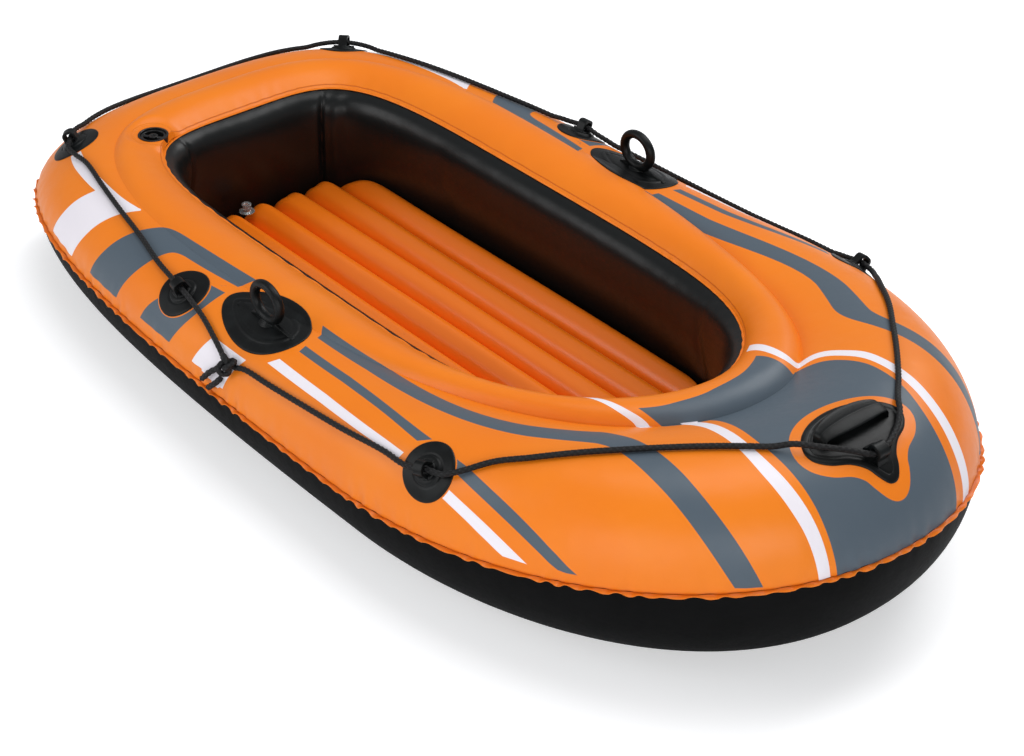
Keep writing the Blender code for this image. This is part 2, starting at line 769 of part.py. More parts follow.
def bridge(frame, height, length):
    """Arch on flared feet with its opening along X, for a rope at the given height."""
    outside = BRIDGE_INSIDE + BRIDGE_WALL
    turns = [math.pi * i / 6 for i in range(7)]
    outline = [(outside + BRIDGE_FLARE, BRIDGE_FOOT)]
    outline += [(outside * math.cos(t), height + outside * math.sin(t)) for t in turns]
    outline += [(-outside - BRIDGE_FLARE, BRIDGE_FOOT), (-BRIDGE_INSIDE, BRIDGE_FOOT)]
    for t in turns:
        outline.append((-BRIDGE_INSIDE * math.cos(t), height + BRIDGE_INSIDE * math.sin(t)))
    outline += [(BRIDGE_INSIDE, BRIDGE_FOOT)]
    turned = frame @ Matrix(((0, 0, 1, 0), (1, 0, 0, 0), (0, 1, 0, 0), (0, 0, 0, 1)))
    return prism(outline, -length / 2, length / 2, turned)


def rope_heading(place, side):
    """Direction of the rope where it passes a holder, in plan."""
    turn = ROPE_TURNS[place]
    return math.radians(turn if side == "port" else -turn)


def mirrored(route):
    """A route's points on the other side of the boat, in the opposite order."""
    return [(x, -y, *rest) for x, y, *rest in reversed(route)]


def smooth_open(points, spacing):
    """Smooth curve through the given points, with more points only where they are far apart."""
    curve = []
    for i in range(len(points) - 1):
        before = points[max(i - 1, 0)]
        here, there = points[i], points[i + 1]
        after = points[min(i + 2, len(points) - 1)]
        steps = max(1, round((there - here).length / spacing))
        for j in range(steps):
            t = j / steps
            cubic = 3 * (here - there) + after - before
            square = 2 * before - 5 * here + 4 * there - after
            curve.append(here + 0.5 * t * (there - before + t * (square + t * cubic)))
    curve.append(points[-1])
    return curve


def through_holder(deck, place, side, backward):
    """Rope points through a holder's bridge, from aft to forward unless backward."""
    x, y = HOLDERS[place]
    frame = deck.frame(x, y if side == "port" else -y, rope_heading(place, side))
    steps = (
        (-0.031, ROPE_HEIGHT_BESIDE), (-0.009, ROPE_HEIGHT),
        (0.009, ROPE_HEIGHT), (0.031, ROPE_HEIGHT_BESIDE),
    )
    points = [frame @ Vector((along, 0.0, up)) for along, up in steps]
    return points[::-1] if backward else points


def build_rope(deck):
    """One rope round the whole boat, in the order in which it is led from the knot."""
    bow_eye = deck.frame(EYE_X, EYE_Y, math.radians(90))
    eye = [bow_eye @ Vector((along, 0.0, EYE_HEIGHT)) for along in (-0.009, 0.009)]
    points = deck.along(FORWARD_ROUTE) + through_holder(deck, "front", "starboard", False)
    points += deck.along(BOW_ROUTE) + deck.lifted(LOBE_ROUTE) + eye
    points += deck.lifted(mirrored(LOBE_ROUTE))
    points += deck.along(PORT_BOW_ROUTE) + through_holder(deck, "front", "port", True)
    points += deck.along(PORT_ROUTE) + through_holder(deck, "rear", "port", True)
    points += deck.along([(x, -y) for x, y in STERN_SIDE_ROUTE])
    points += through_holder(deck, "stern", "port", True) + deck.along(STERN_ROUTE)
    points += through_holder(deck, "stern", "starboard", False)
    points += deck.along(STERN_SIDE_ROUTE[::-1])
    points += through_holder(deck, "rear", "starboard", False) + deck.along(AFT_ROUTE)
    line = smooth_open(points, ROPE_SPACING)
    finish(tube(line, ROPE_RADIUS, ROPE_SIDES), "grab_rope", ROPE_BLACK)


def build_knot(deck):
    """Knot that closes the rope's loop, and the rope's two loose tails."""
    frame = deck.frame(KNOT[0], KNOT[1], 0.0)
    path = []
    for i in range(KNOT_POINTS):
        turn = 2 * math.pi * i / KNOT_POINTS
        x = math.sin(turn) + 2 * math.sin(2 * turn)
        y = math.cos(turn) - 2 * math.cos(2 * turn)
        z = KNOT_SWELL * math.sin(3 * turn)
        path.append(frame @ (Vector((x, y, z)) * KNOT_SCALE + Vector((0.0, 0.0, KNOT_HEIGHT))))
    finish(tube(path, KNOT_RADIUS, 7, closed=True), "rope_knot", ROPE_BLACK)
    for name, tail in TAILS.items():
        path = [deck.beside(Vector(point)) for point in tail]
        finish(tube(path, KNOT_RADIUS, 7), "rope_tail_%s" % name, ROPE_BLACK)


def build_oarlock(deck, side, sign):
    """Egg-shaped moulded patch, and the ring on a low fin that stands on it for the oar."""
    centre = (OARLOCK_X, sign * OARLOCK_Y)
    outline = []
    inner = []
    for i in range(28):
        turn = 2 * math.pi * i / 28
        reach = OARLOCK_PATCH[0] * math.cos(turn)
        half = OARLOCK_PATCH[1] * math.sin(turn) * (1.0 - OARLOCK_EGG * math.cos(turn))
        outline.append((OARLOCK_PATCH_X + reach, centre[1] + sign * half))
        inner.append((OARLOCK_PATCH_X + OARLOCK_PAD * reach, centre[1] + sign * OARLOCK_PAD * half))
    patch = combine(deck.shell(GAP, GAP + PATCH), prism(outline, 0.1, 0.3), "INTERSECT")
    pad = deck.shell(GAP + OVERLAP, GAP + PATCH + PAD_RISE)
    patch = combine(patch, combine(pad, prism(inner, 0.1, 0.3), "INTERSECT"), "UNION")
    finish(patch, "oarlock_patch_%s" % side, BLACK)
    foot = deck.frame(*centre, 0.0)
    ring_centre = foot.translation + Vector((0.0, 0.0, OARLOCK_HEIGHT))
    path = []
    for i in range(24):
        turn = 2 * math.pi * i / 24
        along, up = OARLOCK_RING[0] * math.cos(turn), OARLOCK_RING[1] * math.sin(turn)
        path.append(ring_centre + Vector((along, 0.0, up)))
    neck = [(OARLOCK_NECK[0] * x, OARLOCK_NECK[1] * y) for x, y in circle(1.0, 14)]
    stand = prism(neck, -0.010, 0.0075, foot)
    upright = foot @ Matrix(((1, 0, 0, 0), (0, 0, -1, 0), (0, 1, 0, 0), (0, 0, 0, 1)))
    fin = [(OARLOCK_FIN[0][0], -0.009), *OARLOCK_FIN, (OARLOCK_FIN[-1][0], -0.009)]
    stand = combine(stand, prism(fin, -OARLOCK_FIN_HALF, OARLOCK_FIN_HALF, upright), "UNION")
    ring = combine(tube(path, OARLOCK_RING_RADIUS, 10, closed=True), stand, "UNION")
    ring = combine(ring, deck.shell(-DEEP, PATCH + PAD_RISE + 2 * GAP), "DIFFERENCE")
    finish(ring, "oarlock_ring_%s" % side, BLACK)


def bow_outline(inset):
    """Three-lobed outline of the bow patch, shrunk by inset."""
    half = list(BOW_PATCH_HALF)
    points = half + [(BOW_PATCH_TIP, 0.0)] + [(x, -y) for x, y in reversed(half[1:])]
    curve = smooth_closed(points, 2)
    shrunk = []
    for i, here in enumerate(curve):
        ahead = curve[(i + 1) % len(curve)] - curve[i - 1]
        inward = Vector((ahead.y, -ahead.x)).normalized()
        shrunk.append(here + inward * inset)
    return [(p.x, p.y) for p in shrunk]


def build_bow(deck):
    """Three-lobed bow patch with a raised lip, its strap handle and its rope eye."""
    patch = combine(deck.shell(GAP, GAP + PATCH), prism(bow_outline(0.0), 0.15, 0.35), "INTERSECT")
    lip = deck.shell(GAP + OVERLAP, GAP + PATCH + BOW_LIP_HEIGHT)
    lip = combine(lip, prism(bow_outline(0.0), 0.15, 0.35), "INTERSECT")
    lip = combine(lip, prism(bow_outline(BOW_LIP), 0.1, 0.4), "DIFFERENCE")
    patch = combine(patch, lip, "UNION")
    finish(patch, "bow_patch", BLACK)
    path = []
    widths = []
    for i in range(17):
        share = -1.0 + 2.0 * i / 16
        y = HANDLE_HALF * math.sin(share * math.pi / 2)
        up = HANDLE_RISE * math.sqrt(max(0.0, 1.0 - abs(share) ** 3))
        path.append(deck.under(HANDLE_X, y) + Vector((0.0, 0.0, up)))
        widths.append(mix(*HANDLE_WIDTH, (y / HANDLE_HALF) ** 2))
    path[0].z -= HANDLE_SINK
    path[-1].z -= HANDLE_SINK
    handle = band(path, Vector((0.0, 0.0, 1.0)), widths, HANDLE_THICKNESS)
    handle = combine(handle, deck.shell(-DEEP, PATCH + 2 * GAP), "DIFFERENCE")
    finish(handle, "bow_handle", BLACK)
    frame = deck.frame(EYE_X, EYE_Y, math.radians(90))
    eye = bridge(frame, EYE_HEIGHT, EYE_LENGTH)
    eye = combine(eye, deck.shell(-DEEP, PATCH + 2 * GAP), "DIFFERENCE")
    finish(eye, "bow_rope_eye", BLACK)


def bar_outline(half_sizes):
    """Corners of a flat bar with the given half length and half width."""
    x, y = half_sizes
    return [(-x, -y), (x, -y), (x, y), (-x, y)]


def build_valve(deck, rim_skin):
    """Main air valve: welded base with a cup, seal, screwed insert with a cross bar, and flap."""
    top = deck.under(VALVE_X, VALVE_Y).z
    centre = Matrix.Translation(Vector((VALVE_X, VALVE_Y, top)))
    outer = VALVE_BORE + VALVE_WALL
    rim_skin = combine(rim_skin, prism(circle(outer + GAP, 24), -DEEP, DEEP, centre), "DIFFERENCE")
    finish(rim_skin, "rim_chamber_skin", ORANGE)
    cup = [(outer, VALVE_TOP), (outer, -VALVE_DEPTH), (0.009, -VALVE_DEPTH), (0.009, -0.0175),
           (0.0155, -0.0175), (0.0155, -0.0130), (VALVE_BORE, -0.0130), (VALVE_BORE, VALVE_TOP)]
    base = lathe(cup, 24, centre)
    flange = combine(deck.shell(-SKIN - GAP - 0.0018, -SKIN - GAP),
                     prism(circle(VALVE_FLANGE, 24), -DEEP, DEEP, centre), "INTERSECT")
    flange = combine(flange, prism(circle(outer - OVERLAP, 24), -2 * DEEP, 2 * DEEP, centre), "DIFFERENCE")
    base = combine(base, flange, "UNION")
    spider = prism(bar_outline(VALVE_SPIDER), -0.0195, -0.0180, centre)
    hole = prism(circle(FLAP_STEM_HOLE, 12), -DEEP, 0.0, centre)
    base = combine(base, combine(spider, hole, "DIFFERENCE"), "UNION")
    finish(base, "valve_base", BLACK)
    finish(lathe([(0.0162, -0.0127), (0.0187, -0.0127), (0.0187, -0.0115), (0.0162, -0.0115)], 24,
                 centre), "valve_seal", BLACK)
    insert = lathe([(0.0150, -0.0112), (0.0187, -0.0112), (0.0187, -0.0015), (0.0150, -0.0015)], 24,
                   centre)
    turned = centre @ Matrix.Rotation(math.radians(VALVE_BAR_TURN), 4, "Z")
    insert = combine(insert, prism(bar_outline(VALVE_BAR), -0.0080, -0.0030, turned), "UNION")
    insert = combine(insert, prism(circle(VALVE_HUB, 16), -0.0090, -0.0010, centre), "UNION")
    insert = combine(insert, prism(circle(VALVE_HUB_HOLE, 12), -DEEP, DEEP, centre), "DIFFERENCE")
    finish(insert, "valve_insert", BLACK)
    flap = [(0.0, -0.0213), (0.0115, -0.0213), (0.0115, -0.0203), (FLAP_STEM, -0.0203),
            (FLAP_STEM, -0.0140), (0.0035, -0.0140), (0.0035, -0.0130), (0.0, -0.0130)]
    finish(lathe(flap, 16, centre), "valve_diaphragm", BLACK)


def build_floor_valve():
    """Small clear valve on the stern end of the floor mat, with its push-in plug."""
    at = Matrix.Translation(Vector((FLOOR_VALVE_X, FLOOR_VALVE_Y, SKIN + GAP + MAT_THICKNESS + GAP)))
    body = [(0.0045, 0.0), (0.012, 0.0), (0.012, 0.0012), (0.0065, 0.0018), (0.0065, 0.0110),
            (0.0045, 0.0110)]
    finish(lathe(body, 16, at), "floor_valve", CLEAR)
    plug = [(0.0, 0.0030), (0.0042, 0.0030), (0.0042, 0.0113), (0.0075, 0.0113), (0.0075, 0.0130),
            (0.0, 0.0130)]
    finish(lathe(plug, 16, at), "floor_valve_plug", CLEAR)


def main():
    """Build every piece of the boat."""
    for old in list(bpy.data.objects):
        bpy.data.objects.remove(old)
    sections = hull_sections()
    skins = build_skins(sections)
    build_cockpit_weld(sections)
    build_seam_flange(sections)
    build_bottom_panel(sections)
    build_floor_mat()
    deck = Deck(sections)
    for side, sign in (("port", 1), ("starboard", -1)):
        build_oarlock(deck, side, sign)
        for place, (x, y) in HOLDERS.items():
            build_holder(deck, place, side, x, sign * y)
    build_bow(deck)
    build_rope(deck)
    build_knot(deck)
    build_valve(deck, skins["rim_chamber_skin"])
    build_floor_valve()


main()
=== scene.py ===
"""Looks of the one-person inflatable boat: printed hull, air mat, valves, fittings and grab rope.

Metres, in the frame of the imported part: +X to the bow, +Y to port, +Z up. The hull's skins follow the
same outlines and cross-section as the part's solids, on many more planes. A place on the hull is
given as u, the distance along the outer seam from the bow's tip, negative to starboard, and v, which
runs from 0 at the seam over 1 at the crease to 2 at the cockpit's edge.
"""

import logging
import math
from contextlib import contextmanager
from dataclasses import dataclass
from enum import Enum
from typing import Callable, Iterator, Sequence

import bpy
import numpy as np
from mathutils import Matrix, Vector
from mathutils.bvhtree import BVHTree


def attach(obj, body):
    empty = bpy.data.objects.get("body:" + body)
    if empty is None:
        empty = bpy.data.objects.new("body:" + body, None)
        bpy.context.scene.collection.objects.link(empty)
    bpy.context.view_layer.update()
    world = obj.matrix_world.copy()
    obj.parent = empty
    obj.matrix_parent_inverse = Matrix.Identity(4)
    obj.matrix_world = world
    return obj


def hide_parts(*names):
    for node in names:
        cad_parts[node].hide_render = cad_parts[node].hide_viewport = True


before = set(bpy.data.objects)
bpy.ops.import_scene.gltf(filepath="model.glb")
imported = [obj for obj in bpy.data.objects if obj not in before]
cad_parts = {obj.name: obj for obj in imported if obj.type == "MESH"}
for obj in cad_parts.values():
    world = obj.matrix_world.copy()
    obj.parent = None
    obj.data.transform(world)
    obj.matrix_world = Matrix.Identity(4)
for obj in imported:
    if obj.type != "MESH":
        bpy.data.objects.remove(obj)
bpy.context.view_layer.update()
log = logging.getLogger("inflatable_boat")

Rail = Sequence[tuple[float, float]]
Color = tuple[float, float, float]
Triple = tuple[float, float, float]

VALVE_PLACE = (-0.578, -0.156)
OARLOCK_Y = 0.318
SIDES = {"port": 1.0, "starboard": -1.0}
# Place along the boat, place from the centreline, and turn of the rope in degrees, to port
HOLDERS = {
    "stern": (-0.655, 0.243, 38.0),
    "rear": (-0.209, 0.348, 10.0),
    "front": (0.331, 0.360, -26.0),
}


class Ink(Enum):
    """Colours printed on the orange vinyl."""

    GREY = "grey"
    WHITE = "white"


class Facing(Enum):
    """The side of a sheet that shows."""

    UP = "up"
    DOWN = "down"
    INWARD = "inward"


def operator(kind: str, swapped: bool = False) -> "Callable[..., Value]":
    """Method that adds one Math node.

    Args:
        kind: What the node works out.
        swapped: Whether the value itself is the second of the two.

    Returns:
        The method. Its other value is 0 when none is given.
    """

    def method(self: "Value", other: "Value | float" = 0.0) -> "Value":
        """Add the node and return its value."""
        first, second = (other, self) if swapped else (self, other)
        return self.shader.math(kind, first, second)

    return method


class Value:
    """Shader socket that adds Math nodes when it is used in an expression."""

    __add__ = __radd__ = operator("ADD")
    __mul__ = __rmul__ = operator("MULTIPLY")
    __sub__ = operator("SUBTRACT")
    __rsub__ = operator("SUBTRACT", swapped=True)
    __pow__ = operator("POWER")
    least = operator("MINIMUM")
    most = operator("MAXIMUM")
    size = operator("ABSOLUTE")
    sine = operator("SINE")

    def __init__(self, shader: "Shader", socket: bpy.types.NodeSocket) -> None:
        """Wrap one output socket of a shader."""
        self.shader = shader
        self.socket = socket

    def ease(self, low: float, high: float) -> "Value":
        """Smooth step from 0 at low to 1 at high.

        Args:
            low: Value that gives 0.
            high: Value that gives 1.

        Returns:
            The eased value.
        """
        settings = {"interpolation_type": "SMOOTHSTEP", "clamp": True}
        return self.shader.value("ShaderNodeMapRange", {0: self, 1: low, 2: high}, **settings)


class Shader:
    """Node tree of one material that ends in its Principled shader."""

    def __init__(self, name: str) -> None:
        """Start a material with the given name."""
        self.material = bpy.data.materials.new(name)
        self.material.use_nodes = True
        self.tree = self.material.node_tree
        self.principled = self.tree.nodes["Principled BSDF"]
        self.object = self.value("ShaderNodeTexCoord", {}, "Object")

    def value(
        self, kind: str, inputs: dict, output: "int | str" = 0, **settings: object
    ) -> Value:
        """Add one node.

        Args:
            kind: Type of the node.
            inputs: Value or link of each named or numbered socket.
            output: Name or number of the output that is wanted.
            settings: Its own settings, set first.

        Returns:
            The value of that output.
        """
        made = self.tree.nodes.new(kind)
        for key, value in settings.items():
            setattr(made, key, value)
        for key, value in inputs.items():
            self.connect(made.inputs[key], value)
        return Value(self, made.outputs[output])

    def connect(self, socket: bpy.types.NodeSocket, value: "Value | float | tuple") -> None:
        """Link a value to an input, or set the input to a plain number or colour."""
        if isinstance(value, Value):
            self.tree.links.new(value.socket, socket)
        else:
            socket.default_value = value

    def math(self, operation: str, first: "Value | float", second: "Value | float") -> Value:
        """Add one Math node and return its value."""
        return self.value("ShaderNodeMath", {0: first, 1: second}, operation=operation)

    def attribute(self, name: str) -> Value:
        """Number kept on the piece's points under a name."""
        return self.value("ShaderNodeAttribute", {}, "Fac", attribute_name=name)

    def noise(self, scale: float, detail: float = 2.0, stretch: Sequence[float] = (1, 1, 1)) -> Value:
        """Soft random pattern from 0 to 1 over the piece.

        Args:
            scale: Grains for each metre.
            detail: Finer layers that are added.
            stretch: Scale along each axis.

        Returns:
            The pattern's value.
        """
        vector = self.object
        if tuple(stretch) != (1, 1, 1):
            vector = self.value("ShaderNodeMapping", {"Vector": self.object, "Scale": stretch})
        return self.value("ShaderNodeTexNoise", {"Vector": vector, "Scale": scale, "Detail": detail})

    def cells(self, scale: float) -> Value:
        """Distance to the nearest of many scattered points, for a leathery grain."""
        return self.value("ShaderNodeTexVoronoi", {"Vector": self.object, "Scale": scale}, "Distance")

    def axis(self, vector: Value, name: str) -> Value:
        """One part, X, Y or Z, of a vector."""
        return self.value("ShaderNodeSeparateXYZ", {0: vector}, name)

    def away(self, centre: Sequence[float]) -> Value:
        """Distance from an upright line through a point, in metres."""
        x = self.axis(self.object, "X") - centre[0]
        y = self.axis(self.object, "Y") - centre[1]
        return (x * x + y * y) ** 0.5

    def blend(self, share: "Value | float", first: "Value | Color", second: "Value | Color") -> Value:
        """Mix two colours.

        Args:
            share: Part of the second colour, from 0 to 1.
            first: First colour.
            second: Second colour.

        Returns:
            The mixed colour.
        """
        colors = [c if isinstance(c, Value) else (*c, 1.0) for c in (first, second)]
        inputs = {0: share, 6: colors[0], 7: colors[1]}
        return self.value("ShaderNodeMix", inputs, 2, data_type="RGBA")

    def bump(self, height: Value, distance: float, under: "Value | None" = None) -> Value:
        """Relief from a height pattern.

        Args:
            height: Height from 0 to 1.
            distance: Depth of the relief in metres.
            under: Relief that lies under this one.

        Returns:
            The bent normal.
        """
        inputs = {"Strength": 1.0, "Distance": distance, "Height": height}
        if under is not None:
            inputs["Normal"] = under
        return self.value("ShaderNodeBump", inputs)

    def feed(self, **inputs: "Value | float | Color") -> bpy.types.Material:
        """Feed the Principled shader.

        Args:
            inputs: Value of each of its sockets, with _ for a space in the socket's name.

        Returns:
            The material.
        """
        for key, value in inputs.items():
            given = (*value, 1.0) if isinstance(value, tuple) else value
            self.connect(self.principled.inputs[key.replace("_", " ")], given)
        return self.material


@dataclass(frozen=True)
class PrintedVinyl:
    """Satin orange vinyl sheet with screen-printed grey and white bands, and painted shade along its weld
    groove and seam.
    """

    name: str = "printed_vinyl"
    orange: Color = (0.81, 0.205, 0.008)
    deep: Color = (0.77, 0.172, 0.006)
    grey: Color = (0.076, 0.101, 0.127)
    white: Color = (0.80, 0.76, 0.81)
    # Dark brown used as painted shade in the weld groove by the cockpit's edge and at the seam's foot
    weld: Color = (0.50, 0.07, 0.004)
    roughness: float = 0.36
    specular: float = 0.30
    edge_blur: float = 0.00035
    edge_weld: float = 0.0048
    valve_weld: float = 0.0305

    def mask(self, shader: Shader, ink: Ink) -> Value:
        """Where an ink lies, from 0 to 1.

        Args:
            shader: Material that is being made.
            ink: The ink.

        Returns:
            The ink's share.
        """
        across = shader.attribute(ink.value + "_across")
        along = shader.attribute(ink.value + "_along")
        inside = across.least(along).least(shader.attribute("clearing"))
        return inside.ease(-self.edge_blur, self.edge_blur)

    def make(self) -> bpy.types.Material:
        """Build the material."""
        shader = Shader(self.name)
        patchy = shader.noise(5.0, 3.0).ease(0.35, 0.65)
        color = shader.blend(patchy * 0.5, self.orange, self.deep)
        seam = shader.attribute("from_seam")
        edge = shader.attribute("from_edge")
        # Painted shade: the weld groove 4.8 mm from the cockpit's edge and the seam's foot are darkened
        # towards the weld colour, for the shade that falls into them
        line = 1.0 - (edge - self.edge_weld).size().ease(0.0003, 0.0011)
        color = shader.blend(line * 0.6, color, self.weld)
        color = shader.blend((1.0 - seam.ease(0.0, 0.003)) * 0.6, color, self.weld)
        grey = self.mask(shader, Ink.GREY)
        white = self.mask(shader, Ink.WHITE)
        color = shader.blend(grey, color, self.grey)
        color = shader.blend(white, color, self.white)
        scuff = shader.noise(160.0, 3.0).ease(0.3, 0.8)
        ring = 1.0 - (shader.away(VALVE_PLACE) - self.valve_weld).size().ease(0.0006, 0.0018)
        grain = shader.bump(shader.cells(1500.0), 0.00002)
        soft = shader.bump(shader.noise(14.0, 2.0), 0.0022, grain)
        soft = shader.bump(shader.noise(48.0, 2.0), 0.00022, soft)
        welds = shader.bump(ring - line, 0.0006, soft)
        ink_edge = shader.bump(grey.most(white), 0.00003, welds)
        rough = self.roughness + scuff * 0.05 + grey * 0.04
        return shader.feed(
            Base_Color=color, Roughness=rough, Normal=ink_edge, Specular_IOR_Level=self.specular
        )


@dataclass(frozen=True)
class PlainVinyl:
    """Plain welded vinyl sheet, of one colour with a faint grain and soft unevenness."""

    name: str
    color: Color
    shade: Color
    roughness: float = 0.52
    specular: float = 0.04
    wave: float = 0.0012

    def make(self) -> bpy.types.Material:
        """Build the material."""
        shader = Shader(self.name)
        patchy = shader.noise(9.0, 3.0).ease(0.3, 0.7)
        color = shader.blend(patchy, self.color, self.shade)
        dust = shader.noise(220.0, 4.0).ease(0.35, 0.8)
        grain = shader.bump(shader.cells(1300.0), 0.00002)
        soft = shader.bump(shader.noise(20.0, 3.0), self.wave, grain)
        fine = shader.bump(shader.noise(70.0, 2.0), self.wave * 0.12, soft)
        rough = self.roughness + dust * 0.06
        return shader.feed(
            Base_Color=color, Roughness=rough, Normal=fine, Specular_IOR_Level=self.specular
        )


@dataclass(frozen=True)
class MatVinyl:
    """Satin orange vinyl of the air mat, with painted shade in the valleys of its weld lines and at the
    beams' low ends.
    """

    name: str = "mat_vinyl"
    orange: Color = (0.90, 0.185, 0.006)
    # Dark brown used as painted shade in the valleys between the beams and at their low ends
    weld: Color = (0.30, 0.030, 0.0015)
    roughness: float = 0.27
    specular: float = 0.50

    def make(self) -> bpy.types.Material:
        """Build the material."""
        shader = Shader(self.name)
        crown = shader.attribute("crown")
        # Painted shade: the lower the beam's surface, in its valleys and at its tapering ends, the darker
        # it is painted
        color = shader.blend(crown.ease(0.02, 0.26), self.weld, self.orange)
        grain = shader.bump(shader.cells(1300.0), 0.00002)
        pulled = shader.noise(30.0, 2.0, (0.35, 1.0, 1.0))
        creases = shader.bump(pulled * (1.0 - crown.ease(0.1, 0.9)), 0.0016, grain)
        soft = shader.bump(shader.noise(16.0, 2.0), 0.0012, creases)
        rough = self.roughness + shader.noise(200.0, 3.0) * 0.08
        return shader.feed(
            Base_Color=color, Roughness=rough, Normal=soft, Specular_IOR_Level=self.specular
        )


@dataclass(frozen=True)
class MouldedVinyl:
    """Soft black moulded vinyl of the fittings, with a fine matt grain and faint scuffs."""

    name: str = "moulded_vinyl_black"
    color: Color = (0.0022, 0.0027, 0.0028)
    scuff: Color = (0.0095, 0.0115, 0.0120)
    roughness: float = 0.33
    specular: float = 0.18

    def make(self) -> bpy.types.Material:
        """Build the material."""
        shader = Shader(self.name)
        worn = shader.noise(34.0, 5.0).ease(0.45, 0.80)
        color = shader.blend(worn * 0.7, self.color, self.scuff)
        grain = shader.bump(shader.cells(2200.0), 0.00003)
        soft = shader.bump(shader.noise(90.0, 3.0), 0.00016, grain)
        rough = self.roughness + shader.noise(300.0, 3.0) * 0.12
        return shader.feed(
            Base_Color=color, Roughness=rough, Normal=soft, Specular_IOR_Level=self.specular
        )


@dataclass(frozen=True)
class BraidedRope:
    """Black braided cord: glossy filaments that run with each strand of the braid, with a painted
    highlight along the raised strands.
    """

    name: str = "braided_rope_black"
    color: Color = (0.0022, 0.0022, 0.0024)
    # Lighter colour used as a painted highlight on the raised filaments
    painted_glint: Color = (0.034, 0.034, 0.038)
    filaments: float = 5.0
    roughness: float = 0.48
    specular: float = 0.28

    def make(self) -> bpy.types.Material:
        """Build the material."""
        shader = Shader(self.name)
        first = shader.attribute("strand_left")
        second = shader.attribute("strand_right")
        over = shader.attribute("strand_over").ease(0.42, 0.58)
        lines = (first * self.filaments).sine() * over + (second * self.filaments).sine() * (1.0 - over)
        fibre = (lines * 0.5 + 0.5).ease(0.1, 0.9)
        raised = shader.attribute("strand_height")
        # Painted highlight: the filaments on the raised parts of the strands are painted lighter
        color = shader.blend(fibre * raised.ease(0.3, 1.0) * 0.8, self.color, self.painted_glint)
        threads = shader.bump(fibre, 0.00012)
        fuzz = shader.bump(shader.noise(1800.0, 2.0), 0.00005, threads)
        rough = self.roughness + shader.noise(900.0) * 0.15
        return shader.feed(
            Base_Color=color, Roughness=rough, Normal=fuzz, Specular_IOR_Level=self.specular
        )


@dataclass(frozen=True)
class HardPlastic:
    """Injection-moulded black plastic of the main valve."""

    name: str = "valve_plastic"
    color: Color = (0.005, 0.005, 0.0055)
    dust: Color = (0.014, 0.014, 0.015)
    roughness: float = 0.30
    specular: float = 0.40

    def make(self) -> bpy.types.Material:
        """Build the material."""
        shader = Shader(self.name)
        dusty = shader.noise(60.0, 4.0).ease(0.5, 0.85)
        color = shader.blend(dusty, self.color, self.dust)
        grain = shader.bump(shader.noise(1600.0, 2.0), 0.00002)
        rough = self.roughness + dusty * 0.15
        return shader.feed(
            Base_Color=color, Roughness=rough, Normal=grain, Specular_IOR_Level=self.specular
        )


@dataclass(frozen=True)
class ClearPlastic:
    """Soft clear plastic of the mat's small valve, slightly milky."""

    name: str = "clear_vinyl"
    color: Color = (0.80, 0.84, 0.85)
    milk: Color = (0.62, 0.66, 0.66)
    roughness: float = 0.12
    transmission: float = 0.88
    refraction: float = 1.45

    def make(self) -> bpy.types.Material:
        """Build the material."""
        shader = Shader(self.name)
        cloudy = shader.noise(120.0, 3.0)
        color = shader.blend(cloudy * 0.4, self.color, self.milk)
        ripple = shader.bump(shader.noise(350.0, 2.0), 0.00008)
        rough = self.roughness + cloudy * 0.10
        return shader.feed(
            Base_Color=color, Roughness=rough, Normal=ripple,
            Transmission_Weight=self.transmission, IOR=self.refraction,
        )


def only(piece: bpy.types.Object) -> None:
    """Select one object alone and make it active."""
    bpy.ops.object.select_all(action="DESELECT")
    piece.select_set(True)
    bpy.context.view_layer.objects.active = piece


@contextmanager
def edited(piece: bpy.types.Object) -> Iterator[None]:
    """Hold one piece in edit mode with all of it selected."""
    only(piece)
    bpy.ops.object.mode_set(mode="EDIT")
    bpy.ops.mesh.select_all(action="SELECT")
    yield
    bpy.ops.object.mode_set(mode="OBJECT")


def joined(parts: Sequence[bpy.types.Object]) -> bpy.types.Object:
    """Join parts into the first of them."""
    only(parts[0])
    for part in parts:
        part.select_set(True)
    if len(parts) > 1:
        bpy.ops.object.join()
    return bpy.context.object


def vectors(items: bpy.types.bpy_prop_collection, name: str) -> np.ndarray:
    """One vector of every point or face of a mesh, by row."""
    flat = np.empty(len(items) * 3)
    items.foreach_get(name, flat)
    return flat.reshape(-1, 3)


def sampled(line: np.ndarray, known: np.ndarray, wanted: np.ndarray) -> np.ndarray:
    """Points of a line at wanted distances, from its own points at known distances."""
    return np.stack([np.interp(wanted, known, column) for column in line.T], axis=1)


def walked(line: np.ndarray) -> np.ndarray:
    """Distance passed at every point of a plane line."""
    return np.concatenate([[0.0], np.cumsum(np.hypot(*np.diff(line, axis=0).T))])


def apply(piece: bpy.types.Object, kind: str, **settings: object) -> None:
    """Give a piece a modifier and apply it.

    Args:
        piece: The piece.
        kind: Type of the modifier.
        settings: Its settings.
    """
    only(piece)
    modifier = piece.modifiers.new(kind.lower(), kind)
    for key, value in settings.items():
        setattr(modifier, key, value)
    bpy.ops.object.modifier_apply(modifier=modifier.name)


def weld(piece: bpy.types.Object) -> None:
    """Merge doubled points, and turn all faces outwards."""
    with edited(piece):
        bpy.ops.mesh.remove_doubles(threshold=0.000001)
        bpy.ops.mesh.normals_make_consistent(inside=False)


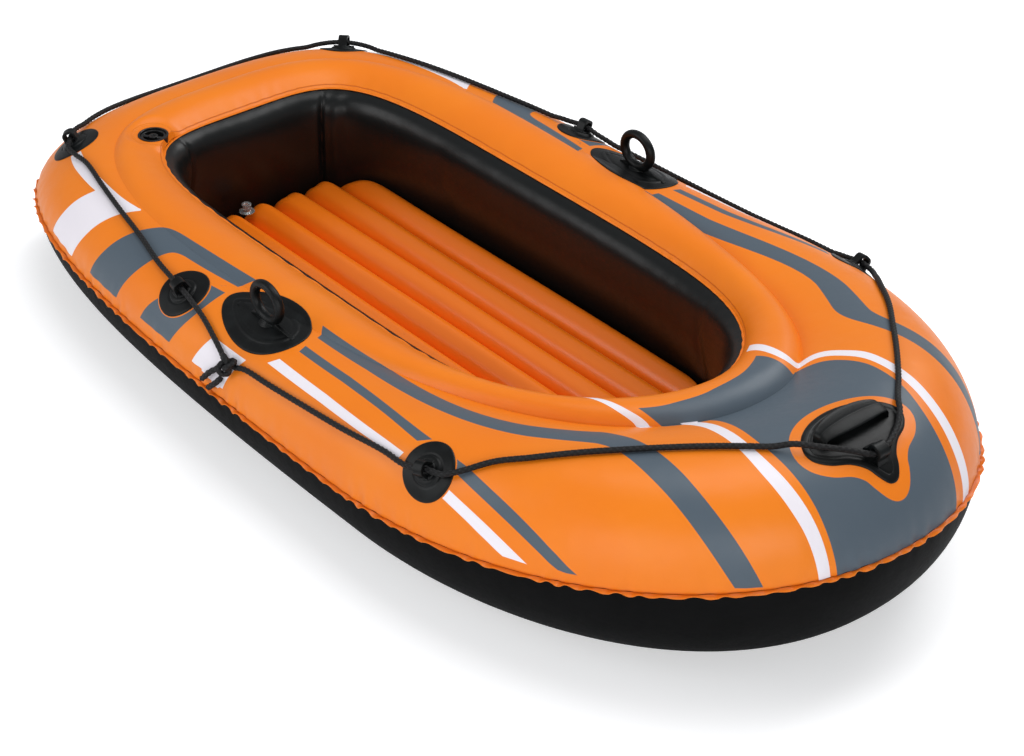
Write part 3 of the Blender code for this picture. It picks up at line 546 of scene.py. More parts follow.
def wrap_grid(
    points: np.ndarray, close_rows: bool = False, close_columns: bool = False
) -> bpy.types.Object:
    """Grid primitive whose points are laid on the given places.

    Args:
        points: Places by row and column.
        close_rows: Whether the last row joins the first.
        close_columns: Whether the last column joins the first.

    Returns:
        The mesh object, with each point's number kept as "place".
    """
    open_rows, open_columns = points.shape[:2]
    rows = open_rows + (1 if close_rows else 0)
    columns = open_columns + (1 if close_columns else 0)
    bpy.ops.mesh.primitive_grid_add(x_subdivisions=rows - 1, y_subdivisions=columns - 1, size=1.0)
    piece = bpy.context.object
    mesh = piece.data
    start = vectors(mesh.vertices, "co")
    row = np.rint((start[:, 0] + 0.5) * (rows - 1)).astype(int) % open_rows
    column = np.rint((start[:, 1] + 0.5) * (columns - 1)).astype(int) % open_columns
    place = mesh.attributes.new("place", "INT", "POINT")
    place.data.foreach_set("value", row * open_columns + column)
    mesh.vertices.foreach_set("co", points[row, column].ravel())
    mesh.update()
    weld(piece)
    return piece


def keep_values(piece: bpy.types.Object, **values: np.ndarray) -> None:
    """Keep numbers on a wrapped grid's points, by row and column, for its material."""
    mesh = piece.data
    place = np.empty(len(mesh.vertices), dtype=np.int32)
    mesh.attributes["place"].data.foreach_get("value", place)
    for name, grid in values.items():
        attribute = mesh.attributes.new(name, "FLOAT", "POINT")
        attribute.data.foreach_set("value", grid.ravel()[place].astype(np.float32))


def turn_sheet(piece: bpy.types.Object, facing: Facing) -> None:
    """Turn a sheet's faces so that they point to the side that shows.

    Args:
        piece: An open sheet.
        facing: The side that shows.
    """
    normals = vectors(piece.data.polygons, "normal")
    centres = vectors(piece.data.polygons, "center")
    if facing is Facing.INWARD:
        score = -(normals[:, :2] * centres[:, :2]).sum()
    else:
        score = normals[:, 2].sum() * (1 if facing is Facing.UP else -1)
    if score < 0.0:
        with edited(piece):
            bpy.ops.mesh.flip_normals()


def plate(outline: Rail, low: float, high: float, matrix: Matrix) -> bpy.types.Object:
    """Circle primitive drawn out to an outline, filled and extruded.

    Args:
        outline: Corners in the plate's own plane.
        low: Height of its lower face.
        high: Height of its upper face.
        matrix: Place of its plane.

    Returns:
        A closed plate.
    """
    bpy.ops.mesh.primitive_circle_add(vertices=len(outline), radius=1.0, fill_type="NGON")
    piece = bpy.context.object
    for vertex, (x, y) in zip(piece.data.vertices, outline):
        vertex.co = (x, y, low)
    with edited(piece):
        bpy.ops.mesh.extrude_region_move(TRANSFORM_OT_translate={"value": (0.0, 0.0, high - low)})
    piece.data.transform(matrix)
    weld(piece)
    return piece


def fuse(parts: Sequence[bpy.types.Object], voxel: float, passes: int) -> bpy.types.Object:
    """Join overlapping parts into one moulded form with soft fillets between them.

    Args:
        parts: Closed parts that overlap.
        voxel: Size of the new mesh's cells.
        passes: Smoothing passes.

    Returns:
        The moulded form.
    """
    piece = joined(parts)
    apply(piece, "REMESH", mode="VOXEL", voxel_size=voxel)
    apply(piece, "SMOOTH", factor=0.5, iterations=passes)
    return piece


def settle(
    piece: bpy.types.Object, name: str, body: str, slot: str, finish: bpy.types.Material, *nodes: str
) -> bpy.types.Object:
    """Name, shade, dress and mount a finished piece.

    Args:
        piece: The piece, with its place in its mesh.
        name: Its name.
        body: Body of the frame that it moves with.
        slot: Name of its material slot; it is not used.
        finish: Its material.
        nodes: Solids of the part that it stands for.

    Returns:
        The same piece.
    """
    only(piece)
    bpy.ops.object.transform_apply(location=True, rotation=True, scale=True)
    bpy.ops.object.shade_smooth_by_angle(angle=math.radians(42))
    piece.name = name
    piece.data.name = name
    piece.data.materials.clear()
    piece.data.materials.append(finish)
    if "place" in piece.data.attributes:
        piece.data.attributes.remove(piece.data.attributes["place"])
    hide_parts(*nodes)
    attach(piece, body)
    log.info("%s: %d faces, on %s", name, len(piece.data.polygons), body)
    return piece


def smoothstep(value: np.ndarray, low: float, high: float) -> np.ndarray:
    """Ease from 0 at low to 1 at high."""
    share = np.clip((value - low) / (high - low), 0.0, 1.0)
    return share * share * (3.0 - 2.0 * share)


def uneven_wave(turn: np.ndarray, waves: int, wander: float, bends: int, swells: int) -> np.ndarray:
    """Wave round the boat whose spacing and height change from place to place.

    Args:
        turn: Angle round the boat.
        waves: Number of waves round it.
        wander: How far they wander along it.
        bends: Number of times that they wander to and fro.
        swells: Number of times that their height swells.

    Returns:
        The wave from -1 to 1.
    """
    return np.sin(waves * turn + wander * np.sin(bends * turn)) * (0.6 + 0.4 * np.sin(swells * turn))


def mix(first: np.ndarray, second: np.ndarray, share: np.ndarray) -> np.ndarray:
    """Blend from first to second."""
    return first + (second - first) * share


@dataclass(frozen=True)
class Outline:
    """Plan outline, with its own curve powers forward and aft of its widest place."""

    bow: float
    stern: float
    widest: float
    half_width: float
    bow_length_power: float
    bow_beam_power: float
    stern_length_power: float
    stern_beam_power: float

    def radius(self, origin_x: np.ndarray, angle: np.ndarray) -> np.ndarray:
        """Distance from the points (origin_x, 0) along the angles to the outline.

        Args:
            origin_x: Start of each ray on the centreline.
            angle: Direction of each ray.

        Returns:
            Distance along each ray.
        """
        low = np.zeros_like(angle)
        high = np.full_like(angle, 1.5)
        for _ in range(44):
            middle = 0.5 * (low + high)
            x = origin_x + middle * np.cos(angle)
            y = np.abs(middle * np.sin(angle)) / self.half_width
            ahead = np.clip((x - self.widest) / (self.bow - self.widest), 0.0, None)
            behind = np.clip((self.widest - x) / (self.widest - self.stern), 0.0, None)
            forward = ahead ** self.bow_length_power + y ** self.bow_beam_power
            aft = behind ** self.stern_length_power + y ** self.stern_beam_power
            inside = np.where(x > self.widest, forward, aft) < 1.0
            low = np.where(inside, middle, low)
            high = np.where(inside, high, middle)
        return 0.5 * (low + high)


@dataclass(frozen=True)
class HullForm:
    """Sizes of the hull. The rim's inner slope is flatter than the solids', and the wall fuller.

    A pair holds the values away from the bow and at it. A triple holds those for the sides, the
    stern and the bow.
    """

    seam: Outline = Outline(0.764, -0.764, 0.202, 0.398, 2.0, 2.11, 3.07, 4.97)
    crease: Outline = Outline(0.513, -0.657, -0.203, 0.294, 2.14, 2.23, 2.59, 3.30)
    edge: Outline = Outline(0.422, -0.581, -0.104, 0.205, 4.0, 1.90, 5.0, 4.50)
    seam_z: float = 0.129
    crease_z: float = 0.215
    edge_z: float = 0.202
    lift_start: float = 0.09
    seam_lift: float = 0.116
    deck_lift: float = 0.188
    bow_fan_x: float = 0.12
    stern_fan_x: float = -0.42
    main_rise: Triple = (0.060, 0.030, 0.050)
    main_reach: Triple = (0.045, 0.065, 0.182)
    main_crown: Triple = (-0.008, 0.008, 0.104)
    rim_rise: Triple = (0.020, 0.020, 0.034)
    rim_shoulder: float = 0.30
    rim_edge_rise: Sequence[float] = (0.0215, 0.030)
    rim_edge_reach: Sequence[float] = (0.0235, 0.010)
    edge_lean: float = 0.002
    wall_upper_bulge: float = 0.060
    wall_lower_bulge: float = -0.004
    wall_upper_drop: float = 0.017
    wall_lower_z: float = 0.060
    lower_inset: Sequence[float] = (0.14, 0.168)
    panel_outside: float = 0.010
    skin: float = 0.0015
    gap: float = 0.0003
    weld: float = 0.0016


@dataclass(frozen=True)
class Band:
    """Printed band between two rails, which run the same way. Each rail is a row of (u, v)."""

    ink: Ink
    first: Rail
    second: Rail
    both_sides: bool = False


BANDS = (
    Band(
        Ink.WHITE,
        ((-1.516, 0.075), (-1.503, 0.321), (-1.497, 0.524), (-1.484, 0.76)),
        ((-1.437, 0.075), (-1.418, 0.339), (-1.407, 0.554), (-1.392, 0.757), (-1.369, 0.969)),
        True,
    ),
    Band(
        Ink.WHITE,
        ((-1.70, 0.53), (-1.656, 0.56), (-1.60, 0.596), (-1.549, 0.655), (-1.484, 0.719), (-1.43, 0.80)),
        ((-1.70, 0.62), (-1.649, 0.66), (-1.54, 0.797), (-1.475, 0.861), (-1.42, 0.905), (-1.369, 0.969)),
        True,
    ),
    Band(
        Ink.WHITE,
        ((-1.093, 0.13), (-1.081, 0.304), (-1.072, 0.44)),
        ((-1.017, 0.135), (-1.008, 0.287), (-0.997, 0.43)),
        True,
    ),
    Band(
        Ink.WHITE,
        ((-0.952, 0.584), (-0.717, 0.44), (-0.666, 0.395)),
        ((-0.963, 0.506), (-0.709, 0.385), (-0.673, 0.345)),
        True,
    ),
    Band(
        Ink.WHITE,
        ((-0.584, 0.294), (-0.539, 0.216), (-0.501, 0.135), (-0.467, 0.049)),
        ((-0.592, 0.246), (-0.552, 0.177), (-0.499, 0.056)),
        True,
    ),
    Band(
        Ink.WHITE,
        ((-0.39, 1.80), (-0.294, 1.239), (-0.274, 1.133), (-0.260, 1.055), (-0.254, 0.964)),
        ((-0.365, 1.80), (-0.268, 1.24), (-0.250, 1.153), (-0.235, 1.063), (-0.229, 0.979)),
    ),
    Band(
        Ink.WHITE,
        (
            (-0.172, 1.02), (-0.160, 0.90), (-0.161, 0.757), (-0.161, 0.60), (-0.159, 0.463),
            (-0.152, 0.375), (-0.144, 0.282), (-0.134, 0.168), (-0.125, -0.03),
        ),
        (
            (-0.139, 1.013), (-0.136, 0.90), (-0.140, 0.75), (-0.143, 0.60), (-0.140, 0.493),
            (-0.131, 0.374), (-0.124, 0.275), (-0.118, 0.168), (-0.111, -0.03),
        ),
    ),
    Band(
        Ink.WHITE,
        (
            (0.165, 1.80), (0.146, 1.569), (0.134, 1.355), (0.139, 1.18), (0.152, 1.008),
            (0.190, 0.95), (0.200, 0.882), (0.197, 0.805), (0.194, 0.716), (0.175, 0.608),
            (0.157, 0.51), (0.137, 0.397), (0.125, 0.284), (0.118, 0.176), (0.113, -0.03),
        ),
        (
            (0.200, 1.80), (0.182, 1.612), (0.162, 1.378), (0.160, 1.171), (0.165, 1.04),
            (0.210, 0.961), (0.221, 0.885), (0.217, 0.794), (0.216, 0.707), (0.196, 0.603),
            (0.177, 0.494), (0.157, 0.384), (0.145, 0.272), (0.138, 0.159), (0.135, -0.03),
        ),
    ),
    Band(
        Ink.GREY,
        (
            (-1.375, 0.109), (-1.356, 0.407), (-1.345, 0.623), (-1.329, 0.852), (-1.301, 1.073),
            (-1.226, 1.127), (-1.103, 1.179),
        ),
        (
            (-1.293, 0.121), (-1.279, 0.354), (-1.269, 0.553), (-1.262, 0.747), (-1.249, 0.889),
            (-1.199, 0.908), (-1.117, 0.959),
        ),
        True,
    ),
    Band(
        Ink.GREY,
        ((-1.226, 0.137), (-1.212, 0.355), (-1.169, 0.695), (-1.154, 0.813)),
        ((-1.149, 0.137), (-1.135, 0.326), (-1.124, 0.532), (-1.121, 0.836)),
        True,
    ),
    Band(
        Ink.GREY,
        ((-0.943, 0.801), (-0.761, 0.665), (-0.629, 0.512)),
        ((-0.940, 0.723), (-0.745, 0.592), (-0.652, 0.479)),
        True,
    ),
    Band(
        Ink.GREY,
        (
            (-0.960, 1.125), (-0.567, 0.77), (-0.358, 0.818), (-0.336, 0.829), (-0.305, 0.779),
            (-0.284, 0.705), (-0.256, 0.498), (-0.243, 0.388), (-0.212, 0.174), (-0.191, 0.012),
        ),
        (
            (-0.948, 0.938), (-0.556, 0.661), (-0.372, 0.689), (-0.345, 0.666), (-0.325, 0.607),
            (-0.301, 0.479), (-0.273, 0.33), (-0.223, 0.019),
        ),
    ),
    Band(
        Ink.GREY,
        (
            (0.960, 1.125), (0.567, 0.77), (0.400, 0.80), (0.363, 0.79), (0.335, 0.746),
            (0.316, 0.675), (0.300, 0.598), (0.286, 0.518), (0.266, 0.40), (0.247, 0.27),
            (0.230, 0.154), (0.215, 0.02),
        ),
        (
            (0.948, 0.938), (0.556, 0.661), (0.382, 0.653), (0.358, 0.622), (0.345, 0.583),
            (0.329, 0.507), (0.313, 0.389), (0.291, 0.257), (0.276, 0.204), (0.250, 0.02),
        ),
    ),
    Band(
        Ink.GREY,
        ((-0.580, 0.444), (-0.556, 0.413), (-0.470, 0.242), (-0.404, 0.042)),
        ((-0.578, 0.379), (-0.524, 0.28), (-0.474, 0.173), (-0.428, 0.05)),
        True,
    ),
    Band(
        Ink.GREY,
        (
            (-0.243, 1.252), (-0.196, 1.259), (-0.148, 1.307), (-0.097, 1.337), (-0.055, 1.393),
            (-0.012, 1.418), (0.028, 1.439), (0.076, 1.495), (0.117, 1.545),
        ),
        ((-0.206, 0.985), (-0.040, 0.985), (0.127, 0.985)),
    ),
    Band(
        Ink.GREY,
        (
            (-0.122, 1.02), (-0.116, 0.95), (-0.120, 0.831), (-0.125, 0.718), (-0.128, 0.618),
            (-0.126, 0.532), (-0.121, 0.428), (-0.115, 0.308), (-0.111, 0.2), (-0.103, -0.03),
        ),
        (
            (0.138, 1.02), (0.168, 0.949), (0.181, 0.877), (0.181, 0.785), (0.176, 0.695),
            (0.160, 0.606), (0.143, 0.513), (0.121, 0.41), (0.107, 0.296), (0.100, 0.177), (0.093, -0.03),
        ),
    ),
)


class PrintPlan:
    """Signed distances, over the hull, to the edges of the printed bands."""

    chamber_height: float = 0.18
    end_reach: float = 0.025
    far: float = 0.05
    reach: float = 0.04

    def rail(self, points: Rail) -> np.ndarray:
        """Rail in metres, with its corners cut to a smooth curve.

        Args:
            points: Corners (u, v).

        Returns:
            Points of the curve.
        """
        line = np.array(points, float) * (1.0, self.chamber_height)
        for _ in range(3):
            early = line[:-1] * 0.75 + line[1:] * 0.25
            late = line[:-1] * 0.25 + line[1:] * 0.75
            inner = np.stack([early, late], axis=1).reshape(-1, 2)
            line = np.vstack([line[:1], inner[1:-1], line[-1:]])
        return line

    def beside(self, places: np.ndarray, line: np.ndarray) -> tuple[np.ndarray, np.ndarray]:
        """Signed distance to a line that runs on straight at its ends.

        Args:
            places: Places on the hull, in metres.
            line: Points of the line.

        Returns:
            Distances, positive to the line's left, and the share of the line that is nearest.
        """
        best = np.full(len(places), np.inf)
        signed = np.zeros(len(places))
        nearest = np.zeros(len(places))
        last = len(line) - 2
        for k in range(len(line) - 1):
            step = line[k + 1] - line[k]
            away = places - line[k]
            share = (away @ step) / (step @ step)
            low = -np.inf if k == 0 else 0.0
            high = np.inf if k == last else 1.0
            held = np.clip(share, low, high)
            gap = np.hypot(*(away - held[:, None] * step).T)
            closer = gap < best
            side = np.sign(step[0] * away[:, 1] - step[1] * away[:, 0])
            best = np.where(closer, gap, best)
            signed = np.where(closer, side * gap, signed)
            nearest = np.where(closer, k + share, nearest)
        return signed, nearest / (last + 1)

    def band(self, places: np.ndarray, band: Band, mirrored: bool) -> tuple[np.ndarray, np.ndarray]:
        """Distances inside one band's sides and inside its two ends.

        Args:
            places: Places on the hull, in metres.
            band: The band.
            mirrored: Whether it is taken to the other side of the boat.

        Returns:
            Distance inside the sides, and distance inside the ends.
        """
        flip = (-1.0, 1.0) if mirrored else (1.0, 1.0)
        first, second = (self.rail(points) * flip for points in (band.first, band.second))
        share = np.linspace(0.0, 1.0, 60)
        pair = [self.spread(line, share) for line in (first, second)]
        spine = 0.5 * (pair[0] + pair[1])
        across = np.full(len(places), np.inf)
        for line in (first, second):
            inward = np.sign(self.beside(spine[30:31], line)[0][0])
            across = np.minimum(across, self.beside(places, line)[0] * inward)
        passed = self.beside(places, spine)[1]
        along = np.where((passed < 0.0) | (passed > 1.0), -self.far, self.far)
        for end, after in ((0, 1), (-1, -2)):
            corner, other = first[end], second[end]
            width = np.hypot(*(other - corner))
            normal = np.array((corner[1] - other[1], other[0] - corner[0])) / width
            normal = normal * np.sign((spine[after] - spine[end]) @ normal)
            near = np.hypot(*(places - spine[end]).T) < 0.5 * width + self.end_reach
            along = np.where(near, (places - corner) @ normal, along)
        return across, along

    def spread(self, line: np.ndarray, share: np.ndarray) -> np.ndarray:
        """Points at given shares of a line's own length."""
        passed = walked(line)
        wanted = share * passed[-1]
        return sampled(line, passed, wanted)

    def lay(self, u: np.ndarray, v: np.ndarray) -> dict[str, np.ndarray]:
        """Both inks' distances at every place of a skin.

        Args:
            u: Distance along the seam from the bow's tip.
            v: Place across the chambers.

        Returns:
            Named grids of distances.
        """
        places = np.stack([u.ravel(), v.ravel() * self.chamber_height], axis=1)
        result = {}
        for ink in Ink:
            across = np.full(len(places), -self.far)
            along = np.full(len(places), -self.far)
            for band in BANDS:
                if band.ink is not ink:
                    continue
                for mirrored in (False, True) if band.both_sides else (False,):
                    self.add(places, band, mirrored, across, along)
            result[ink.value + "_across"] = across.reshape(u.shape)
            result[ink.value + "_along"] = along.reshape(u.shape)
        return result

    def add(
        self, places: np.ndarray, band: Band, mirrored: bool, across: np.ndarray, along: np.ndarray
    ) -> None:
        """Put one band into the grids wherever it is the nearest one."""
        rails = np.vstack([band.first, band.second]) * ((-1.0, 1.0) if mirrored else (1.0, 1.0))
        low, high = rails[:, 0].min() - self.reach, rails[:, 0].max() + self.reach
        near = np.flatnonzero((places[:, 0] > low) & (places[:, 0] < high))
        if not len(near):
            return
        side, end = self.band(places[near], band, mirrored)
        better = np.minimum(side, end) > np.minimum(across[near], along[near])
        across[near[better]] = side[better]
        along[near[better]] = end[better]


class Hull:
    """Cross-sections of the hull on many planes, and the skins that are drawn through them."""

    def __init__(self, form: HullForm, planes: int) -> None:
        """Walk round the seam and set one plane at every equal step.

        Args:
            form: Sizes of the hull.
            planes: Number of planes round the whole boat.
        """
        self.form = form
        fan = np.linspace(0.0, 0.5 * math.pi, 500)
        side = np.linspace(form.bow_fan_x, form.stern_fan_x, 120)[1:-1]
        angle = np.concatenate([fan, np.full(len(side), 0.5 * math.pi), fan + 0.5 * math.pi])
        origin = np.concatenate(
            [np.full(len(fan), form.bow_fan_x), side, np.full(len(fan), form.stern_fan_x)]
        )
        radius = form.seam.radius(origin, angle)
        walk = np.stack([origin + radius * np.cos(angle), radius * np.sin(angle)], axis=1)
        passed = walked(walk)
        self.half = float(passed[-1])
        u = 2.0 * self.half * np.arange(planes) / planes
        self.u = np.where(u > self.half, u - 2.0 * self.half, u)
        self.origin = np.interp(np.abs(self.u), passed, origin)
        self.angle = np.interp(np.abs(self.u), passed, angle) * np.where(self.u < 0.0, -1.0, 1.0)
        self.measure()

    def measure(self) -> None:
        """Work out each plane's radii, heights and blends."""
        form = self.form
        self.seam_r = form.seam.radius(self.origin, self.angle)
        self.crease_r = form.crease.radius(self.origin, self.angle)
        self.edge_r = form.edge.radius(self.origin, self.angle)
        self.seam_z = form.seam_z + self.lift(self.seam_r, form.seam_lift)
        self.crease_z = form.crease_z + self.lift(self.crease_r, form.deck_lift)
        self.edge_z = form.edge_z + self.lift(self.edge_r, form.deck_lift)
        seam_x = self.origin + self.seam_r * np.cos(self.angle)
        self.bow = smoothstep(seam_x, -0.20, form.seam.bow)
        self.stern = smoothstep(-seam_x, 0.30, -form.seam.stern)
        self.lower_inset = mix(*form.lower_inset, smoothstep(seam_x, 0.05, form.seam.bow))
        ahead = np.roll(self.seam_points(), -1, axis=0) - np.roll(self.seam_points(), 1, axis=0)
        length = np.hypot(ahead[:, 0], ahead[:, 1])
        self.outward = np.stack([ahead[:, 1] / length, -ahead[:, 0] / length, 0 * length], axis=1)

    def seam_points(self) -> np.ndarray:
        """Points of the outer seam."""
        return self.world(self.seam_r[:, None], self.seam_z[:, None])[:, 0]

    def lift(self, r: np.ndarray, rate: float) -> np.ndarray:
        """Rise of the sheer at distance r."""
        x = self.origin + r * np.cos(self.angle)
        return rate * np.clip(x - self.form.lift_start, 0.0, None) ** 2

    def blend(self, values: Sequence[float]) -> np.ndarray:
        """Mix of a value for the sides, one for the stern and one for the bow."""
        return mix(mix(values[0], values[1], self.stern), values[2], self.bow)

    def world(self, r: np.ndarray, z: np.ndarray) -> np.ndarray:
        """Points in space of points in each plane."""
        x = self.origin[:, None] + r * np.cos(self.angle)[:, None]
        return np.stack([x, r * np.sin(self.angle)[:, None], z], axis=2)

    def curve(self, controls: Sequence[tuple], steps: int) -> tuple[np.ndarray, np.ndarray]:
        """Cubic curve in every plane, at equal steps of its own length.

        Args:
            controls: Four control points (r, z), each an array over the planes.
            steps: Number of steps.

        Returns:
            Points by plane and step, and distance passed along each curve.
        """
        t = np.linspace(0.0, 1.0, 121)
        weights = ((1 - t) ** 3, 3 * t * (1 - t) ** 2, 3 * t * t * (1 - t), t ** 3)
        r = sum(w[None] * np.asarray(c[0])[:, None] for w, c in zip(weights, controls))
        z = sum(w[None] * np.asarray(c[1])[:, None] for w, c in zip(weights, controls))
        passed = np.cumsum(np.hypot(np.diff(r, axis=1), np.diff(z, axis=1)), axis=1)
        passed = np.concatenate([np.zeros((len(r), 1)), passed], axis=1)
        share = np.linspace(0.0, 1.0, steps + 1)
        wanted = passed[:, -1:] * share[None]
        even_r = np.stack([np.interp(w, p, line) for w, p, line in zip(wanted, passed, r)])
        even_z = np.stack([np.interp(w, p, line) for w, p, line in zip(wanted, passed, z)])
        return self.world(even_r, even_z), wanted

    def main_chamber(self, steps: int) -> tuple[np.ndarray, np.ndarray]:
        """Upper skin of the outer chamber, from the seam over its crown to the crease."""
        form = self.form
        foot = self.seam_z + form.weld / 2 + form.gap
        reach = self.crease_r + self.blend(form.main_reach)
        controls = (
            (self.seam_r, foot),
            (self.seam_r, foot + self.blend(form.main_rise)),
            (reach, self.crease_z + self.blend(form.main_crown)),
            (self.crease_r - form.gap, self.crease_z),
        )
        return self.curve(controls, steps)

    def rim_chamber(self, steps: int) -> tuple[np.ndarray, np.ndarray]:
        """Upper skin of the rim chamber, from the crease to the cockpit's edge."""
        form = self.form
        shoulder = mix(self.crease_r, self.edge_r, form.rim_shoulder)
        reach = self.edge_r + mix(*form.rim_edge_reach, self.bow)
        controls = (
            (self.crease_r + form.gap, self.crease_z),
            (shoulder, self.crease_z + self.blend(form.rim_rise)),
            (reach, self.edge_z + mix(*form.rim_edge_rise, self.bow)),
            (self.edge_r, self.edge_z + form.weld / 2 + form.gap),
        )
        return self.curve(controls, steps)

    def wall(self, steps: int) -> tuple[np.ndarray, np.ndarray]:
        """Cockpit wall, from the edge's weld down to the base sheet."""
        form = self.form
        controls = (
            (self.edge_r, self.edge_z - form.weld / 2 - form.gap),
            (self.edge_r - form.wall_upper_bulge, self.edge_z - form.wall_upper_drop),
            (self.edge_r - form.wall_lower_bulge, np.full_like(self.edge_r, form.wall_lower_z)),
            (self.edge_r - form.edge_lean, np.full_like(self.edge_r, form.skin + form.gap)),
        )
        return self.curve(controls, steps)

    def lower_side(self, steps: int) -> tuple[np.ndarray, np.ndarray]:
        """Black skin from the seam round and under to the edge of the base sheet."""
        form = self.form
        top = self.seam_z - form.weld / 2 - form.gap
        turn = 0.5 * math.pi * np.linspace(0.0, 1.0, steps + 1)[None]
        r = self.seam_r[:, None] - self.lower_inset[:, None] * (1.0 - np.cos(turn))
        z = top[:, None] * (1.0 - np.sin(turn))
        r = np.concatenate([r, (self.edge_r + form.panel_outside)[:, None]], axis=1)
        z = np.concatenate([z, np.zeros((len(z), 1))], axis=1)
        passed = np.cumsum(np.hypot(np.diff(r, axis=1), np.diff(z, axis=1)), axis=1)
        return self.world(r, z), np.concatenate([np.zeros((len(r), 1)), passed], axis=1)

    def scallops(self, u: np.ndarray, shift: float = 0.0) -> tuple[np.ndarray, np.ndarray]:
        """Wave of the welded seam, which pulls the skins beside it into small puckers.

        Args:
            u: Distance along the seam.
            shift: Turn of the wave.

        Returns:
            The wave from -1 to 1, and its uneven strength.
        """
        turn = math.pi * u / self.half
        wander = 1.9 * np.sin(5 * turn + 0.4) + 1.2 * np.sin(13 * turn + 1.9) + 0.8 * np.sin(37 * turn)
        wave = np.sin(140 * turn + wander + shift)
        strength = 0.80 + 0.40 * np.sin(19 * turn + 0.8) * np.sin(7 * turn) + 0.30 * np.sin(43 * turn)
        return wave, strength


class Deck:
    """The upper skins as a surface, on which the fittings and the rope are laid."""

    above: float = 0.05
    slope_reach: float = 0.008

    def __init__(self, hull: Hull) -> None:
        """Build the surface from the hull's planes."""
        main, _ = hull.main_chamber(40)
        rim, _ = hull.rim_chamber(18)
        points = np.concatenate([main[:, :-1], rim], axis=1)
        rows, columns = points.shape[:2]
        here = np.arange(rows)[:, None] * columns + np.arange(columns - 1)[None]
        there = (np.arange(rows)[:, None] + 1) % rows * columns + np.arange(columns - 1)[None]
        faces = np.stack([here, here + 1, there + 1, there], axis=2).reshape(-1, 4)
        self.tree = BVHTree.FromPolygons(points.reshape(-1, 3).tolist(), faces.tolist())

    def under(self, x: float, y: float) -> Vector:
        """Point of the deck straight under (x, y)."""
        return self.tree.ray_cast(Vector((x, y, 1.0)), Vector((0.0, 0.0, -1.0)))[0]

    def nearest(self, point: Vector) -> tuple[Vector, Vector]:
        """Nearest point of the deck, and its normal turned up."""
        place, normal = self.tree.find_nearest(point)[:2]
        return place, -normal if normal.z < 0.0 else normal

    def frame(self, x: float, y: float, heading: float) -> Matrix:
        """Matrix on the deck with Z along its normal and X near the heading.

        Args:
            x: Place in plan.
            y: Place in plan.
            heading: Direction of X in plan.

        Returns:
            The matrix.
        """
        reach = self.slope_reach
        along = self.under(x + reach, y) - self.under(x - reach, y)
        across = self.under(x, y + reach) - self.under(x, y - reach)
        normal = along.cross(across).normalized()
        ahead = Vector((math.cos(heading), math.sin(heading), 0.0))
        side = normal.cross(ahead).normalized()
        matrix = Matrix((side.cross(normal), side, normal)).transposed().to_4x4()
        matrix.translation = self.under(x, y)
        return matrix

    def drape(self, piece: bpy.types.Object, matrix: Matrix) -> None:
        """Lay a flat piece, made in a frame's own plane, on the deck.

        Args:
            piece: The piece, with its height above the deck along its own Z.
            matrix: Frame on the deck.
        """
        normal = matrix.to_3x3() @ Vector((0.0, 0.0, 1.0))
        for vertex in piece.data.vertices:
            flat = matrix @ Vector((vertex.co.x, vertex.co.y, 0.0))
            hit = self.tree.ray_cast(flat + normal * self.above, -normal)[0]
            vertex.co = (hit if hit is not None else flat) + normal * vertex.co.z
        piece.data.update()

    def patch(
        self, outline: np.ndarray, middle: Matrix, steps: Sequence[tuple[float, float]], inner: int
    ) -> bpy.types.Object:
        """Moulded patch on the deck, with relief in rings.

        Args:
            outline: Closed outline in plan.
            middle: Frame on the deck at its middle.
            steps: Distance in from the outline, and height, of each ring.
            inner: Number of rings from the last of these to the middle.

        Returns:
            The patch, laid on the deck.
        """
        back = middle.inverted()
        flat = np.array([tuple(back @ self.under(x, y))[:2] for x, y in outline.tolist()])
        piece = ringed_patch(flat, steps, inner)
        self.drape(piece, middle)
        return piece


def ringed_patch(
    outline: np.ndarray, steps: Sequence[tuple[float, float]], inner: int
) -> bpy.types.Object:
    """Flat moulded patch with relief in rings that follow its outline.

    Args:
        outline: Closed outline in its own plane.
        steps: Distance in from the outline, and height, of each ring.
        inner: Number of rings from the last of these to the middle.

    Returns:
        A closed patch that lies 0.3 mm over its plane.
    """
    ahead = np.roll(outline, -1, axis=0) - np.roll(outline, 1, axis=0)
    inward = np.stack([-ahead[:, 1], ahead[:, 0]], axis=1) / np.hypot(*ahead.T)[:, None]
    middle = outline.mean(axis=0)
    if ((middle - outline) * inward).sum() < 0.0:
        inward = -inward
    foot = np.full(len(outline), 0.0003)
    rings = [np.column_stack([np.broadcast_to(middle, outline.shape), foot])]
    rings.append(np.column_stack([outline, foot]))
    for distance, height in steps:
        rings.append(np.column_stack([outline + inward * distance, np.full(len(outline), height)]))
    last = rings[-1]
    for share in np.linspace(0.0, 1.0, inner + 1)[1:]:
        ring = last.copy()
        ring[:, :2] = mix(last[:, :2], middle[None], share)
        rings.append(ring)
    return wrap_grid(np.stack(rings), close_columns=True)


def round_outline(radius: float, count: int = 96) -> np.ndarray:
    """Points round a circle."""
    turn = np.linspace(0.0, 2.0 * math.pi, count, endpoint=False)
    return np.stack([radius * np.cos(turn), radius * np.sin(turn)], axis=1)


def turned(profile: Sequence[tuple[float, float]], matrix: Matrix, count: int = 72) -> bpy.types.Object:
    """Piece of revolution about Z through a profile of (radius, height).

    Args:
        profile: Closed loop, or open with both ends on the axis.
        matrix: Place of the axis.
        count: Steps round.

    Returns:
        The closed piece.
    """
    on_axis = profile[0][0] == 0.0
    turn = np.linspace(0.0, 2.0 * math.pi, count, endpoint=False)[:, None]
    r, z = np.array(profile, float).T
    points = np.stack([r[None] * np.cos(turn), r[None] * np.sin(turn), z[None] + 0.0 * turn], axis=2)
    piece = wrap_grid(points, close_rows=True, close_columns=not on_axis)
    piece.data.transform(matrix)
    return piece


